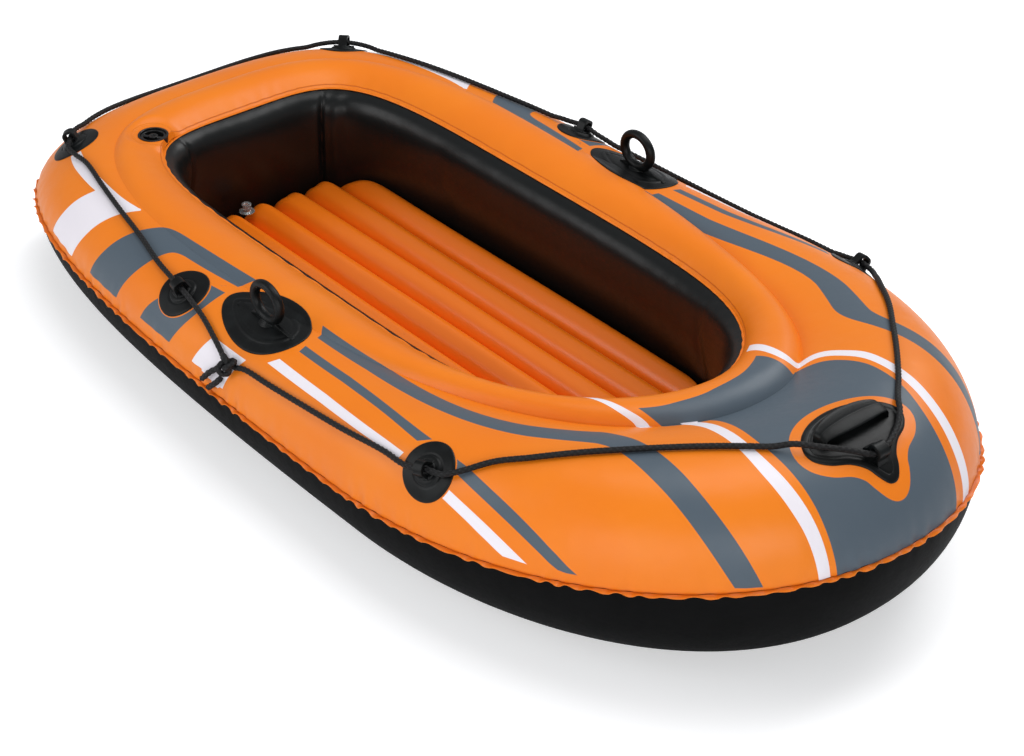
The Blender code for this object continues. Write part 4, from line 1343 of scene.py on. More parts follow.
def arch(matrix: Matrix, height: float, length: float, inside: float, wall: float) -> bpy.types.Object:
    """Square-shouldered bridge with flared feet that a rope passes under.

    Args:
        matrix: Frame on the deck, with the rope along X.
        height: Height of the rope's centre.
        length: Length along the rope.
        inside: Half width of its opening.
        wall: Thickness of its wall.

    Returns:
        The closed arch.
    """
    outer = inside + wall
    square = 0.72

    def shoulders(half: float, sign: float) -> list[tuple[float, float]]:
        """Rounded top of the bridge at a half width, from one side to the other."""
        points = []
        for turn in np.linspace(0.0, math.pi, 17):
            y = sign * half * np.sign(math.cos(turn)) * abs(math.cos(turn)) ** square
            points.append((y, height + half * math.sin(turn) ** square))
        return points

    foot = [(outer + 0.006, -0.002), (outer + 0.004, 0.0018), (outer + 0.0008, 0.006)]
    outline = foot + shoulders(outer, 1.0) + [(-y, z) for y, z in reversed(foot)]
    outline += [(-inside, -0.002), *shoulders(inside, -1.0), (inside, -0.002)]
    across = matrix @ Matrix(((0, 0, 1, 0), (1, 0, 0, 0), (0, 1, 0, 0), (0, 0, 0, 1)))
    return plate(outline, -length / 2, length / 2, across)


@dataclass
class HullSkins:
    """The welded skins of the hull, the margin of the outer weld and the lip round the cockpit."""

    hull: Hull
    deck: Deck
    clearings: "Clearings"
    main_steps: int = 44
    rim_steps: int = 24
    wall_steps: int = 30
    lower_steps: int = 26
    pucker: float = 0.0016
    pucker_reach: float = 0.013
    pucker_inset: float = 0.0005
    weld_fade: float = 0.003
    tension: float = 0.0007
    tension_reach: float = 0.012
    wall_ripple: float = 0.0003
    lip_waver: float = 0.0006
    lip_lift: float = 0.0004
    flange_steps: int = 2600
    flange_width: float = 0.0052
    flange_lobe: float = 0.0016
    flange_droop: float = 0.0014
    flange_ripple: float = 0.0025
    flange_rise: float = 0.0005
    flange_sheet: float = 0.0009
    lobe_lag: float = 1.25
    valve_hole: float = 0.0216
    bare_margin: float = 0.004
    seat: Sequence[float] = (0.0235, 0.046)
    seat_edge: Sequence[float] = (-0.001, 0.003)

    def build(self) -> None:
        """Make all skins."""
        vinyl = PrintedVinyl().make()
        black = PlainVinyl("black_vinyl_sheet", (0.0026, 0.0027, 0.0028), (0.0042, 0.0043, 0.0045)).make()
        glossy = PlainVinyl(
            "glossy_wall_vinyl", (0.0048, 0.0058, 0.0060), (0.0062, 0.0074, 0.0076),
            roughness=0.31, specular=0.26, wave=0.0009,
        ).make()
        self.upper_skins(vinyl)
        self.cockpit_wall(glossy)
        self.lower_skin(black)
        self.flange(vinyl)
        self.cockpit_lip(vinyl)

    def puckered(
        self, points: np.ndarray, passed: np.ndarray, shift: float, strength: float = 1.0
    ) -> np.ndarray:
        """Points of a skin with small puckers where it leaves the seam.

        Args:
            points: Points by plane and step.
            passed: Distance of each from the seam.
            shift: Turn of the puckers' wave.
            strength: Depth beside that of the upper skin.

        Returns:
            The moved points.
        """
        wave, uneven = self.hull.scallops(self.hull.u, shift)
        fade = np.exp(-passed / self.pucker_reach) * (1.0 - 0.55 * np.exp(-passed / self.weld_fade))
        depth = (self.pucker * strength * wave * uneven - self.pucker_inset)[:, None] * fade
        return points + self.hull.outward[:, None, :] * depth[:, :, None]

    def values(self, points: np.ndarray, start: float) -> dict[str, np.ndarray]:
        """Numbers that the printed vinyl reads: ink distances and the clearings of fittings.

        Args:
            points: Points by plane and step.
            start: Value of v at the first step. The last step is at start + 1.

        Returns:
            Named grids.
        """
        rows, columns = points.shape[:2]
        u = np.repeat(self.hull.u[:, None], columns, axis=1)
        v = np.repeat(np.linspace(start, start + 1.0, columns)[None], rows, axis=0)
        kept = PrintPlan().lay(u, v)
        kept["clearing"] = self.clearings.distance(points)
        return kept

    def upper_skins(self, vinyl: bpy.types.Material) -> None:
        """Both printed upper skins, the rim's with its hole for the valve."""
        points, passed = self.hull.main_chamber(self.main_steps)
        kept = self.values(points, 0.0)
        kept.update(from_seam=passed, from_edge=np.full_like(passed, 1.0))
        piece = self.sheet(self.puckered(points, passed, 0.0), Facing.UP, kept)
        settle(piece, "printed_main_skin", "hull", "orange_vinyl", vinyl, "main_chamber_skin")
        points, passed = self.hull.rim_chamber(self.rim_steps)
        kept = self.values(points, 1.0)
        kept.update(from_seam=np.full_like(passed, 1.0), from_edge=passed[:, -1:] - passed)
        piece = self.sheet(self.creased(points, passed), Facing.UP, kept)
        self.cut_valve_hole(piece)
        settle(piece, "printed_rim_skin", "hull", "orange_vinyl", vinyl, "rim_chamber_skin")

    def creased(self, points: np.ndarray, passed: np.ndarray) -> np.ndarray:
        """Rim skin with tension waves beside the cockpit's weld and a level seat round the valve."""
        turn = math.pi * self.hull.u / self.hull.half
        wave = uneven_wave(turn, 88, 1.3, 9, 11)
        from_edge = passed[:, -1:] - passed
        fade = np.exp(-from_edge / self.tension_reach) * (1.0 - np.exp(-from_edge / self.weld_fade))
        moved = points.copy()
        moved[:, :, 2] += self.tension * wave[:, None] * fade
        x, y = VALVE_PLACE
        level = self.deck.under(x, y).z - MainValve.sink
        away = np.hypot(moved[:, :, 0] - x, moved[:, :, 1] - y)
        seat = (1.0 - smoothstep(away, *self.seat)) * smoothstep(from_edge, *self.seat_edge)
        moved[:, :, 2] = mix(moved[:, :, 2], level, seat)
        return moved

    def sheet(
        self, points: np.ndarray, facing: Facing, kept: dict[str, np.ndarray],
        thickness: float = HullForm.skin,
    ) -> bpy.types.Object:
        """Closed strip of sheet round the hull.

        Args:
            points: Its points by plane and step.
            facing: The side that shows.
            kept: Grids of numbers that its material reads.
            thickness: Its thickness, which is the solids' skin unless it is given.

        Returns:
            The sheet.
        """
        piece = wrap_grid(points, close_rows=True)
        turn_sheet(piece, facing)
        keep_values(piece, **kept)
        apply(piece, "SOLIDIFY", thickness=thickness, offset=-1.0, use_rim=True)
        return piece

    def cut_valve_hole(self, piece: bpy.types.Object) -> None:
        """Cut the round hole that the main valve stands in, and keep ink, weld grooves and their painted
        shade off its rim.
        """
        x, y = VALVE_PLACE
        bpy.ops.mesh.primitive_cylinder_add(
            vertices=96, radius=self.valve_hole, depth=0.06, location=(x, y, self.deck.under(x, y).z)
        )
        tool = bpy.context.object
        apply(piece, "BOOLEAN", operation="DIFFERENCE", solver="EXACT", object=tool)
        bpy.data.objects.remove(tool)
        mesh = piece.data
        spots = vectors(mesh.vertices, "co")
        away = np.hypot(spots[:, 0] - x, spots[:, 1] - y)
        near = np.flatnonzero(away < self.valve_hole + self.bare_margin)
        plain = {"grey_across": -0.05, "white_across": -0.05, "from_edge": 0.04, "from_seam": 1.0}
        for name, value in plain.items():
            for index in near.tolist():
                mesh.attributes[name].data[index].value = value

    def cockpit_wall(self, black: bpy.types.Material) -> None:
        """Black wall with the folds that it shows at the cockpit's rounded corners.

        Each fold has its place along the seam, its width, its depth into the wall and its lean.

        Args:
            black: Material of the wall.
        """
        hull = self.hull
        points, passed = hull.wall(self.wall_steps)
        share = passed / passed[:, -1:]
        folds = (
            (1.705, 0.008, 0.0065, 0.02), (1.655, 0.022, -0.005, 0.02), (1.30, 0.020, 0.002, 0.0),
            (-1.715, 0.008, 0.0055, 0.04), (-1.39, 0.018, 0.003, 0.0), (0.56, 0.026, 0.002, 0.02),
            (-0.52, 0.024, 0.002, -0.02),
        )
        depth = np.zeros_like(passed)
        for place, width, size, lean in folds:
            away = (hull.u[:, None] - place - lean * (share - 0.5)) / width
            depth -= size * np.exp(-away ** 2) * np.sin(math.pi * share) ** 0.7
        turn = math.pi * hull.u / hull.half
        ripple = np.sin(64 * turn + 1.5 * np.sin(7 * turn))[:, None]
        depth += self.wall_ripple * ripple * np.exp(-share / 0.10) * (1.0 - np.exp(-share / 0.02))
        inward = -np.stack([np.cos(hull.angle), np.sin(hull.angle), 0 * hull.angle], axis=1)
        moved = points + inward[:, None, :] * depth[:, :, None]
        piece = self.sheet(moved, Facing.INWARD, {})
        settle(piece, "folded_cockpit_wall", "hull", "black_vinyl", black, "cockpit_wall")

    def lower_skin(self, black: bpy.types.Material) -> None:
        """Black skin under the seam, puckered along it."""
        points, passed = self.hull.lower_side(self.lower_steps)
        piece = self.sheet(self.puckered(points, passed, 0.9, 0.35), Facing.DOWN, {})
        settle(piece, "puckered_lower_skin", "hull", "black_vinyl", black, "lower_side_skin")

    def flange(self, vinyl: bpy.types.Material) -> None:
        """Scalloped margin of the outer weld."""
        hull = self.hull
        passed = 2.0 * hull.half * np.arange(self.flange_steps) / self.flange_steps
        known = 2.0 * hull.half * np.arange(len(hull.u) + 1) / len(hull.u)
        seam = np.vstack([hull.seam_points(), hull.seam_points()[:1]])
        outward = np.vstack([hull.outward, hull.outward[:1]])
        base = sampled(seam, known, passed)
        normal = sampled(outward, known, passed)
        u = np.where(passed > hull.half, passed - 2.0 * hull.half, passed)
        wave, strength = hull.scallops(u)
        late = hull.scallops(u, self.lobe_lag)[0]
        share = np.linspace(-0.12, 1.0, 7)
        out = np.clip(share, 0.0, 1.0)[None]
        lobe = 1.0 - 2.0 * np.sqrt(np.clip(0.5 - 0.5 * late, 0.0, None))
        width = self.flange_width + self.flange_lobe * lobe * strength
        reach = share[None] * width[:, None]
        drop = self.flange_droop * out ** 1.4
        ripple = self.flange_ripple * (wave * strength)[:, None] * out ** 1.1
        points = base[:, None, :] + normal[:, None, :] * reach[:, :, None]
        points[:, :, 2] += ripple - drop + self.flange_rise
        kept = {
            "from_seam": np.broadcast_to(out * 0.0022, reach.shape),
            "from_edge": np.full_like(reach, 1.0),
            "clearing": np.full_like(reach, -1.0),
        }
        piece = self.sheet(points, Facing.UP, kept, self.flange_sheet)
        settle(piece, "scalloped_seam_margin", "hull", "orange_vinyl", vinyl, "seam_flange")

    def cockpit_lip(self, vinyl: bpy.types.Material) -> None:
        """Narrow welded lip round the cockpit's edge."""
        hull = self.hull
        turn = math.pi * hull.u / hull.half
        wave = uneven_wave(turn, 92, 1.2, 6, 17)
        still = np.zeros_like(wave)
        corners = (
            (-0.0020, -0.0008, wave), (-0.0026, 0.0, wave), (-0.0020, 0.0008, wave),
            (0.0022, 0.0010, still), (0.0022, -0.0010, still),
        )
        r = np.stack([hull.edge_r + out - self.lip_waver * moved for out, _, moved in corners], axis=1)
        z = np.stack([hull.edge_z + up + self.lip_lift * moved for _, up, moved in corners], axis=1)
        piece = wrap_grid(hull.world(r, z), close_rows=True, close_columns=True)
        far = np.full(r.shape, 1.0)
        keep_values(piece, from_seam=far, from_edge=far, clearing=-far)
        settle(piece, "welded_cockpit_lip", "hull", "orange_vinyl", vinyl, "cockpit_weld")


@dataclass
class Clearings:
    """Bare orange margins that the print leaves round each fitting."""

    deck: Deck
    holder_margin: float = 0.0395
    oarlock_margin: float = 0.0045
    bow_margin: float = 0.0132
    far: float = 0.05
    reach: float = 0.04

    def distance(self, points: np.ndarray) -> np.ndarray:
        """Distance outside every clearing, in metres.

        Args:
            points: Points of a skin, by plane and step.

        Returns:
            The distance of each, negative inside a clearing.
        """
        least = self.outside(points, BowFitting.outline()) - self.bow_margin
        for sign in SIDES.values():
            for x, y, _ in HOLDERS.values():
                centre = np.array(self.deck.under(x, sign * y))
                gap = np.linalg.norm(points - centre, axis=2) - self.holder_margin
                least = np.minimum(least, gap)
            least = np.minimum(least, self.outside(points, Oarlock.egg(sign)) - self.oarlock_margin)
        return np.minimum(least, self.far)

    def outside(self, points: np.ndarray, outline: np.ndarray) -> np.ndarray:
        """Distance in plan outside a closed outline, negative inside it.

        Args:
            points: Points of a skin.
            outline: Closed outline in plan.

        Returns:
            The distance of each point, at most the one that counts as far.
        """
        flat = points[:, :, :2].reshape(-1, 2)
        low, high = outline.min(axis=0) - self.reach, outline.max(axis=0) + self.reach
        near = np.flatnonzero(((flat > low) & (flat < high)).all(axis=1))
        result = np.full(len(flat), self.far)
        spots = flat[near]
        best = np.full(len(near), np.inf)
        inside = np.zeros(len(near), dtype=bool)
        for here, there in zip(outline, np.roll(outline, -1, axis=0)):
            step = there - here
            away = spots - here
            share = np.clip((away @ step) / (step @ step), 0.0, 1.0)
            best = np.minimum(best, np.hypot(*(away - share[:, None] * step).T))
            spans = (here[1] > spots[:, 1]) != (there[1] > spots[:, 1])
            rise = there[1] - here[1] if there[1] != here[1] else 1.0
            crossing = here[0] + (spots[:, 1] - here[1]) * step[0] / rise
            inside ^= spans & (spots[:, 0] < crossing)
        result[near] = np.where(inside, -best, best)
        return result.reshape(points.shape[:2])


@dataclass
class AirMat:
    """Air mat of the cockpit's floor, with seven lengthwise beams and its small clear valve."""

    beams: int = 7
    thickness: float = 0.058
    valley: float = 0.016
    half_width: float = 0.199
    side: float = 0.985
    bow: float = 0.405
    stern: float = -0.576
    edge: float = 0.003
    base: float = 0.0018
    scallop: float = 0.012
    taper: float = 0.028
    margin: float = 0.009
    steps_each: int = 24
    rows: int = 190
    widest: float = -0.104
    bow_power: float = 1.90
    stern_power: float = 6.0
    stern_ease: float = 0.60
    gather: float = 0.0060
    gather_reach: float = 0.014
    sway: float = 0.0010
    margin_wave: float = 0.003
    margin_rise: float = 0.004
    margin_curl: float = 0.0035
    valve_place: Sequence[float] = (-0.538, -0.030)
    valve_gap: float = 0.0003

    def build(self) -> None:
        """Make the mat and its valve."""
        across = np.linspace(0.0, self.beams, self.beams * self.steps_each + 1)
        share = across - np.floor(across)
        share = np.where(across == self.beams, 1.0, share)
        y = self.half_width * self.side * (2.0 * across / self.beams - 1.0)
        rise = np.sqrt(np.clip(1.0 - np.abs(2.0 * share - 1.0) ** 2.2, 0.0, None))
        ratio = np.abs(y / self.half_width)
        bow = self.widest + (self.bow - self.widest) * (1.0 - ratio ** self.bow_power) ** 0.25
        stern = self.widest - (self.widest - self.stern) * (1.0 - ratio ** self.stern_power) ** 0.2
        stern = stern + self.scallop * (1.0 - rise)
        bow = bow - self.scallop * (1.0 - rise)
        outside = (across < 0.5) | (across > self.beams - 0.5)
        valley = np.where(outside, self.edge, self.valley)
        top = valley + (self.thickness - valley) * rise
        t = 0.5 - 0.5 * np.cos(np.linspace(0.0, math.pi, self.rows))
        x = stern[None] + t[:, None] * (bow - stern)[None]
        end = np.minimum(np.minimum(self.stern_ease * (x - stern[None]), bow[None] - x), self.taper)
        up = np.sqrt(np.clip(1.0 - (1.0 - end / self.taper) ** 2, 0.0, None))
        gathers = np.sin(2.0 * math.pi * across * 2.0 + 0.9 * np.sin(across * 2.3))[None]
        gathers = gathers * np.exp(-end / self.gather_reach) * self.gather
        sway = self.sway * np.sin(9.0 * x + across[None] * 2.1) * np.sin(math.pi * share)[None]
        z = self.base + mix(self.edge, top[None], up) + (gathers + sway) * up
        upper = np.stack([x, np.broadcast_to(y[None], x.shape), z], axis=2)
        wavy = np.sin(2.0 * math.pi * across * 2.6 + 1.3 * np.sin(across * 1.7))
        margin = []
        for part in (1.0, 0.66, 0.33):
            row = upper[0].copy()
            row[:, 0] -= part * (self.margin + self.margin_wave * wavy)
            row[:, 2] += part * (self.margin_rise + self.margin_curl * wavy)
            margin.append(row)
        upper = np.concatenate([np.stack(margin), upper])
        under = upper[:, ::-1].copy()
        under[:, :, 2] = self.base
        piece = wrap_grid(np.concatenate([upper, under[:, 1:-1]], axis=1), close_columns=True)
        # The beams' height share, kept as crown, by which the mat's material paints shade into its
        # valleys and low ends
        shown = np.concatenate([np.full_like(x[:3], 0.5), np.broadcast_to(rise, x.shape) * up])
        crown = np.concatenate([shown, np.full_like(shown[:, 1:-1], 0.5)], axis=1)
        keep_values(piece, crown=crown)
        with edited(piece):
            bpy.ops.mesh.fill_holes(sides=0)
            bpy.ops.mesh.normals_make_consistent(inside=False)
        finish = MatVinyl().make()
        settle(piece, "beamed_air_mat", "hull", "floor_vinyl", finish, "floor_mat")
        self.valve()

    def valve(self) -> None:
        """Small clear valve with its push-in plug."""
        clear = ClearPlastic().make()
        top = self.base + self.thickness + self.valve_gap
        at = Matrix.Translation(Vector((*self.valve_place, top)))
        body = (
            (0.0045, 0.0), (0.0116, 0.0), (0.0120, 0.0004), (0.0118, 0.0010), (0.0085, 0.0016),
            (0.0068, 0.0024), (0.0065, 0.0036), (0.0065, 0.0104), (0.0062, 0.0109), (0.0049, 0.0110),
            (0.0045, 0.0106),
        )
        piece = turned(body, at)
        settle(piece, "clear_mat_valve", "hull", "clear_plastic", clear, "floor_valve")
        plug = (
            (0.0, 0.0030), (0.0038, 0.0030), (0.0042, 0.0034), (0.0042, 0.0112), (0.0072, 0.0113),
            (0.0075, 0.0116), (0.0075, 0.0126), (0.0071, 0.0130), (0.0030, 0.0130), (0.0024, 0.0126),
            (0.0, 0.0125),
        )
        piece = turned(plug, at)
        settle(piece, "clear_mat_plug", "floor_plug", "clear_plastic", clear, "floor_valve_plug")


@dataclass
class MainValve:
    """Main air valve in the rim: welded cup, seal, screwed insert with a cross bar, and flap."""

    deck: Deck
    bar_turn: float = 35.0
    sink: float = 0.0026

    def build(self) -> None:
        """Make the valve's four pieces."""
        x, y = VALVE_PLACE
        centre = Matrix.Translation(Vector((x, y, self.deck.under(x, y).z - self.sink)))
        plastic = HardPlastic().make()
        rubber = HardPlastic(
            "seal_rubber_black", (0.016, 0.016, 0.017), (0.026, 0.026, 0.027), roughness=0.55
        ).make()
        cup = (
            (0.0213, 0.0014), (0.0222, 0.0010), (0.0224, 0.0004), (0.0218, -0.0004), (0.0215, -0.0016),
            (0.0215, -0.0196), (0.0211, -0.0200), (0.0094, -0.0200), (0.0090, -0.0196), (0.0090, -0.0178),
            (0.0094, -0.0175), (0.0152, -0.0175), (0.0155, -0.0172), (0.0155, -0.0133), (0.0158, -0.0130),
            (0.0190, -0.0130), (0.0190, 0.0008), (0.0196, 0.0014),
        )
        base = turned(cup, centre)
        settle(base, "welded_valve_cup", "hull", "black_plastic", plastic, "valve_base")
        seal = ((0.0162, -0.0127), (0.0187, -0.0127), (0.0187, -0.0115), (0.0162, -0.0115))
        piece = turned(seal, centre)
        settle(piece, "valve_seal_ring", "valve_seal_lift", "seal_rubber", rubber, "valve_seal")
        piece = self.insert(centre)
        body = "valve_insert_turn"
        settle(piece, "screwed_valve_insert", body, "black_plastic", plastic, "valve_insert")
        flap = (
            (0.0, -0.0213), (0.0112, -0.0213), (0.0115, -0.0210), (0.0112, -0.0203), (0.0018, -0.0203),
            (0.0015, -0.0200), (0.0015, -0.0142), (0.0035, -0.0140), (0.0035, -0.0133), (0.0032, -0.0130),
            (0.0, -0.0129),
        )
        piece = turned(flap, centre)
        settle(piece, "valve_flap_disc", "valve_flap", "seal_rubber", rubber, "valve_diaphragm")

    def insert(self, centre: Matrix) -> bpy.types.Object:
        """Screwed ring with its cross bar and hollow hub."""
        thread = []
        for k in range(19):
            z = -0.0112 + 0.0097 * k / 18
            thread.append((0.0184 + 0.0003 * math.cos(math.pi * k), z))
        profile = [(0.0150, -0.0112), *thread, (0.0182, -0.0009), (0.0154, -0.0009), (0.0150, -0.0013)]
        ring = turned(profile, centre)
        turn = centre @ Matrix.Rotation(math.radians(self.bar_turn), 4, "Z")
        outline = ((-0.0165, -0.0032), (0.0165, -0.0032), (0.0165, 0.0032), (-0.0165, 0.0032))
        bar = plate(outline, -0.0080, -0.0028, turn)
        hub = turned(
            (
                (0.0034, -0.0090), (0.0066, -0.0090), (0.0070, -0.0086), (0.0070, -0.0012),
                (0.0066, -0.0008), (0.0039, -0.0008), (0.0034, -0.0013),
            ),
            centre,
        )
        return fuse([ring, bar, hub], 0.0004, 2)


@dataclass
class RopeHolder:
    """Moulded disc with a boss and a bridge for the grab rope."""

    deck: Deck
    place: str
    side: str
    x: float
    y: float
    turn: float
    radius: float = 0.0375
    boss: float = 0.0180
    rope_height: float = 0.0125
    inside: float = 0.0060
    wall: float = 0.0038
    length: float = 0.0140

    def frame(self) -> Matrix:
        """Frame on the deck with the rope along X."""
        sign = SIDES[self.side]
        return self.deck.frame(self.x, sign * self.y, math.radians(sign * self.turn))

    def build(self, finish: bpy.types.Material) -> None:
        """Make the disc, and the boss and bridge on it.

        Args:
            finish: Material of the moulded vinyl.
        """
        frame_here = self.frame()
        rings = (
            (0.0002, 0.0009), (0.0007, 0.0014), (0.0016, 0.0016), (0.0050, 0.0017), (0.0100, 0.0018),
            (0.0140, 0.0019), (0.0162, 0.0020), (0.0170, 0.0015), (0.0178, 0.0015), (0.0186, 0.0022),
            (0.0192, 0.0034), (0.0200, 0.0038), (0.0230, 0.0040), (0.0280, 0.0041),
        )
        disc = ringed_patch(round_outline(self.radius), rings, 4)
        self.deck.drape(disc, frame_here)
        bridge = arch(frame_here, self.rope_height, self.length, self.inside, self.wall)
        boss = turned(
            ((0.0, 0.0010), (0.0125, 0.0010), (0.0135, 0.0020), (0.0125, 0.0046), (0.0110, 0.0052),
             (0.0, 0.0052)),
            frame_here, 48,
        )
        rib = plate(
            ((-0.0165, -0.0012), (0.0165, -0.0012), (0.0165, 0.0012), (-0.0165, 0.0012)),
            0.0020, 0.0062, frame_here,
        )
        holder = joined([disc, fuse([bridge, boss, rib], 0.0006, 3)])
        place = f"{self.place}_{self.side}"
        settle(holder, f"moulded_holder_{place}", "hull", "moulded_vinyl", finish, f"rope_holder_{place}")


@dataclass
class Oarlock:
    """Moulded egg-shaped patch with the ring that holds an oar."""

    deck: Deck
    side: str
    ring_x: float = -0.055
    ring_height: float = 0.0325
    ring_radius: float = 0.0255
    ring_tube: float = 0.0066
    patch_x: float = -0.066
    patch_half_length: float = 0.079
    patch_half_width: float = 0.045
    bluntness: float = 0.20

    @classmethod
    def egg(cls, sign: float) -> np.ndarray:
        """Outline of the patch in plan.

        Args:
            sign: 1 to port, -1 to starboard.

        Returns:
            Points of the closed outline.
        """
        turn = np.linspace(0.0, 2.0 * math.pi, 132, endpoint=False)
        out = cls.patch_half_width * np.sin(turn) * (1.0 + cls.bluntness * np.cos(turn))
        along = cls.patch_x + cls.patch_half_length * np.cos(turn)
        return np.stack([along, sign * (OARLOCK_Y + out)], axis=1)

    def build(self, finish: bpy.types.Material) -> None:
        """Make the patch and the ring.

        Args:
            finish: Material of the moulded vinyl.
        """
        sign = SIDES[self.side]
        middle = self.deck.frame(self.patch_x, sign * OARLOCK_Y, 0.0)
        rings = (
            (0.0002, 0.0009), (0.0008, 0.0014), (0.0020, 0.0016), (0.0060, 0.0017), (0.0100, 0.0018),
            (0.0140, 0.0019), (0.0156, 0.0024), (0.0166, 0.0030), (0.0185, 0.0032), (0.0205, 0.0031),
            (0.0220, 0.0026), (0.0240, 0.0026), (0.0255, 0.0031), (0.0275, 0.0033),
        )
        patch = self.deck.patch(self.egg(sign), middle, rings, 9)
        name = f"oarlock_patch_{self.side}"
        settle(patch, f"moulded_{name}", "hull", "moulded_vinyl", finish, name)
        foot = self.deck.frame(self.ring_x, sign * OARLOCK_Y, 0.0)
        centre = foot.translation + Vector((0.0, 0.0, self.ring_height))
        bpy.ops.mesh.primitive_torus_add(
            major_radius=self.ring_radius, minor_radius=self.ring_tube, major_segments=96,
            minor_segments=24, location=centre, rotation=(math.radians(90), 0.0, 0.0),
        )
        ring = bpy.context.object
        bpy.ops.object.transform_apply(location=False, rotation=True, scale=True)
        ring.scale = (1.06, 1.0, 0.94)
        bpy.ops.object.transform_apply(location=True, rotation=False, scale=True)
        neck = turned(
            ((0.0, -0.002), (0.0150, -0.002), (0.0145, 0.0030), (0.0110, 0.0048), (0.0085, 0.0075),
             (0.0, 0.0090)),
            foot @ Matrix.Diagonal((1.0, 0.80, 1.0, 1.0)), 48,
        )
        upright = foot @ Matrix(((1, 0, 0, 0), (0, 0, -1, 0), (0, 1, 0, 0), (0, 0, 0, 1)))
        shape = ((-0.038, -0.001), (0.060, -0.001), (0.056, 0.0036), (0.020, 0.0095), (-0.018, 0.0105),
                 (-0.034, 0.0050))
        fin = plate(shape, -0.0026, 0.0026, upright)
        piece = fuse([ring, neck, fin], 0.0007, 4)
        name = f"oarlock_ring_{self.side}"
        settle(piece, f"moulded_{name}", "hull", "moulded_vinyl", finish, name)


@dataclass
class BowFitting:
    """Three-lobed bow patch with its strap handle and its rope eye."""

    deck: Deck
    handle_x: float = 0.656
    handle_half: float = 0.053
    handle_rise: float = 0.0165
    handle_gap: float = 0.0012
    end_sink: float = 0.004
    end_splay: float = 0.004
    end_width: float = 0.56
    end_depth: float = 0.6
    eye_x: float = 0.702
    eye_y: float = -0.003
    eye_height: float = 0.0095
    eye_length: float = 0.0170
    centre_x: float = 0.668

    @staticmethod
    def outline() -> np.ndarray:
        """Smooth closed outline of the patch in plan."""
        half = (
            (0.617, 0.0), (0.622, 0.030), (0.636, 0.057), (0.655, 0.073), (0.672, 0.0745),
            (0.687, 0.061), (0.698, 0.039), (0.710, 0.0245), (0.721, 0.0175), (0.7300, 0.009),
        )
        corners = np.array([*half, (0.7325, 0.0), *[(x, -y) for x, y in half[:0:-1]]])
        points = []
        count = len(corners)
        for i in range(count):
            before, here, there, after = (corners[(i + k) % count] for k in (-1, 0, 1, 2))
            for t in np.linspace(0.0, 1.0, 9)[:-1]:
                cubic = 3 * (here - there) + after - before
                square = 2 * before - 5 * here + 4 * there - after
                points.append(here + 0.5 * t * (there - before + t * (square + t * cubic)))
        return np.array(points)

    def build(self, finish: bpy.types.Material) -> None:
        """Make the patch, the handle and the eye.

        Args:
            finish: Material of the moulded vinyl.
        """
        middle = self.deck.frame(self.centre_x, 0.0, 0.0)
        rings = (
            (0.0002, 0.0012), (0.0007, 0.0020), (0.0016, 0.0024), (0.0040, 0.0025), (0.0070, 0.0025),
            (0.0084, 0.0022), (0.0092, 0.0014), (0.0100, 0.0013), (0.0112, 0.0016), (0.0126, 0.0016),
        )
        patch = self.deck.patch(self.outline(), middle, rings, 12)
        settle(patch, "moulded_bow_patch", "hull", "moulded_vinyl", finish, "bow_patch")
        settle(self.handle(), "moulded_bow_handle", "hull", "moulded_vinyl", finish, "bow_handle")
        eye_frame = self.deck.frame(self.eye_x, self.eye_y, math.radians(90))
        eye = arch(eye_frame, self.eye_height, self.eye_length, 0.0060, 0.0040)
        eye = fuse([eye], 0.0006, 2)
        settle(eye, "moulded_bow_eye", "hull", "moulded_vinyl", finish, "bow_rope_eye")

    def handle(self) -> bpy.types.Object:
        """Arched strap with two moulded ridges and a front face that slopes down."""
        section = (
            (-0.0165, -0.0024), (-0.0175, -0.0004), (-0.0168, 0.0007), (-0.0156, 0.0009),
            (-0.0146, 0.0001), (-0.0100, -0.0002), (-0.0040, -0.0002), (-0.0012, 0.0001),
            (-0.0004, 0.0009), (0.0008, 0.0009), (0.0018, 0.0000), (0.0080, -0.0022),
            (0.0150, -0.0052), (0.0166, -0.0064), (0.0162, -0.0078), (0.0140, -0.0078),
            (0.0070, -0.0050), (0.0, -0.0030), (-0.0080, -0.0028), (-0.0140, -0.0030),
        )
        rows = []
        for share in np.linspace(-1.0, 1.0, 81):
            y = self.handle_half * math.sin(share * math.pi / 2)
            along = (y / self.handle_half) ** 2
            up = self.handle_rise * math.sqrt(max(0.0, 1.0 - abs(share) ** 3))
            base = self.deck.under(self.handle_x, y)
            sink = self.end_sink * max(0.0, abs(share) - 0.9) / 0.1
            narrow = mix(1.0, self.end_width, along)
            low = mix(1.0, self.end_depth, along)
            x = base.x + self.end_splay * along
            lift = up + self.handle_gap - sink
            rows.append([(x + out * narrow, y, base.z + lift + rise * low) for out, rise in section])
        points = np.array(rows)
        tips = points[[0, -1]]
        first, last = np.broadcast_to(tips.mean(axis=1, keepdims=True), tips.shape)
        piece = wrap_grid(np.concatenate([first[None], points, last[None]]), close_columns=True)
        apply(piece, "SUBSURF", levels=1, render_levels=1)
        return piece


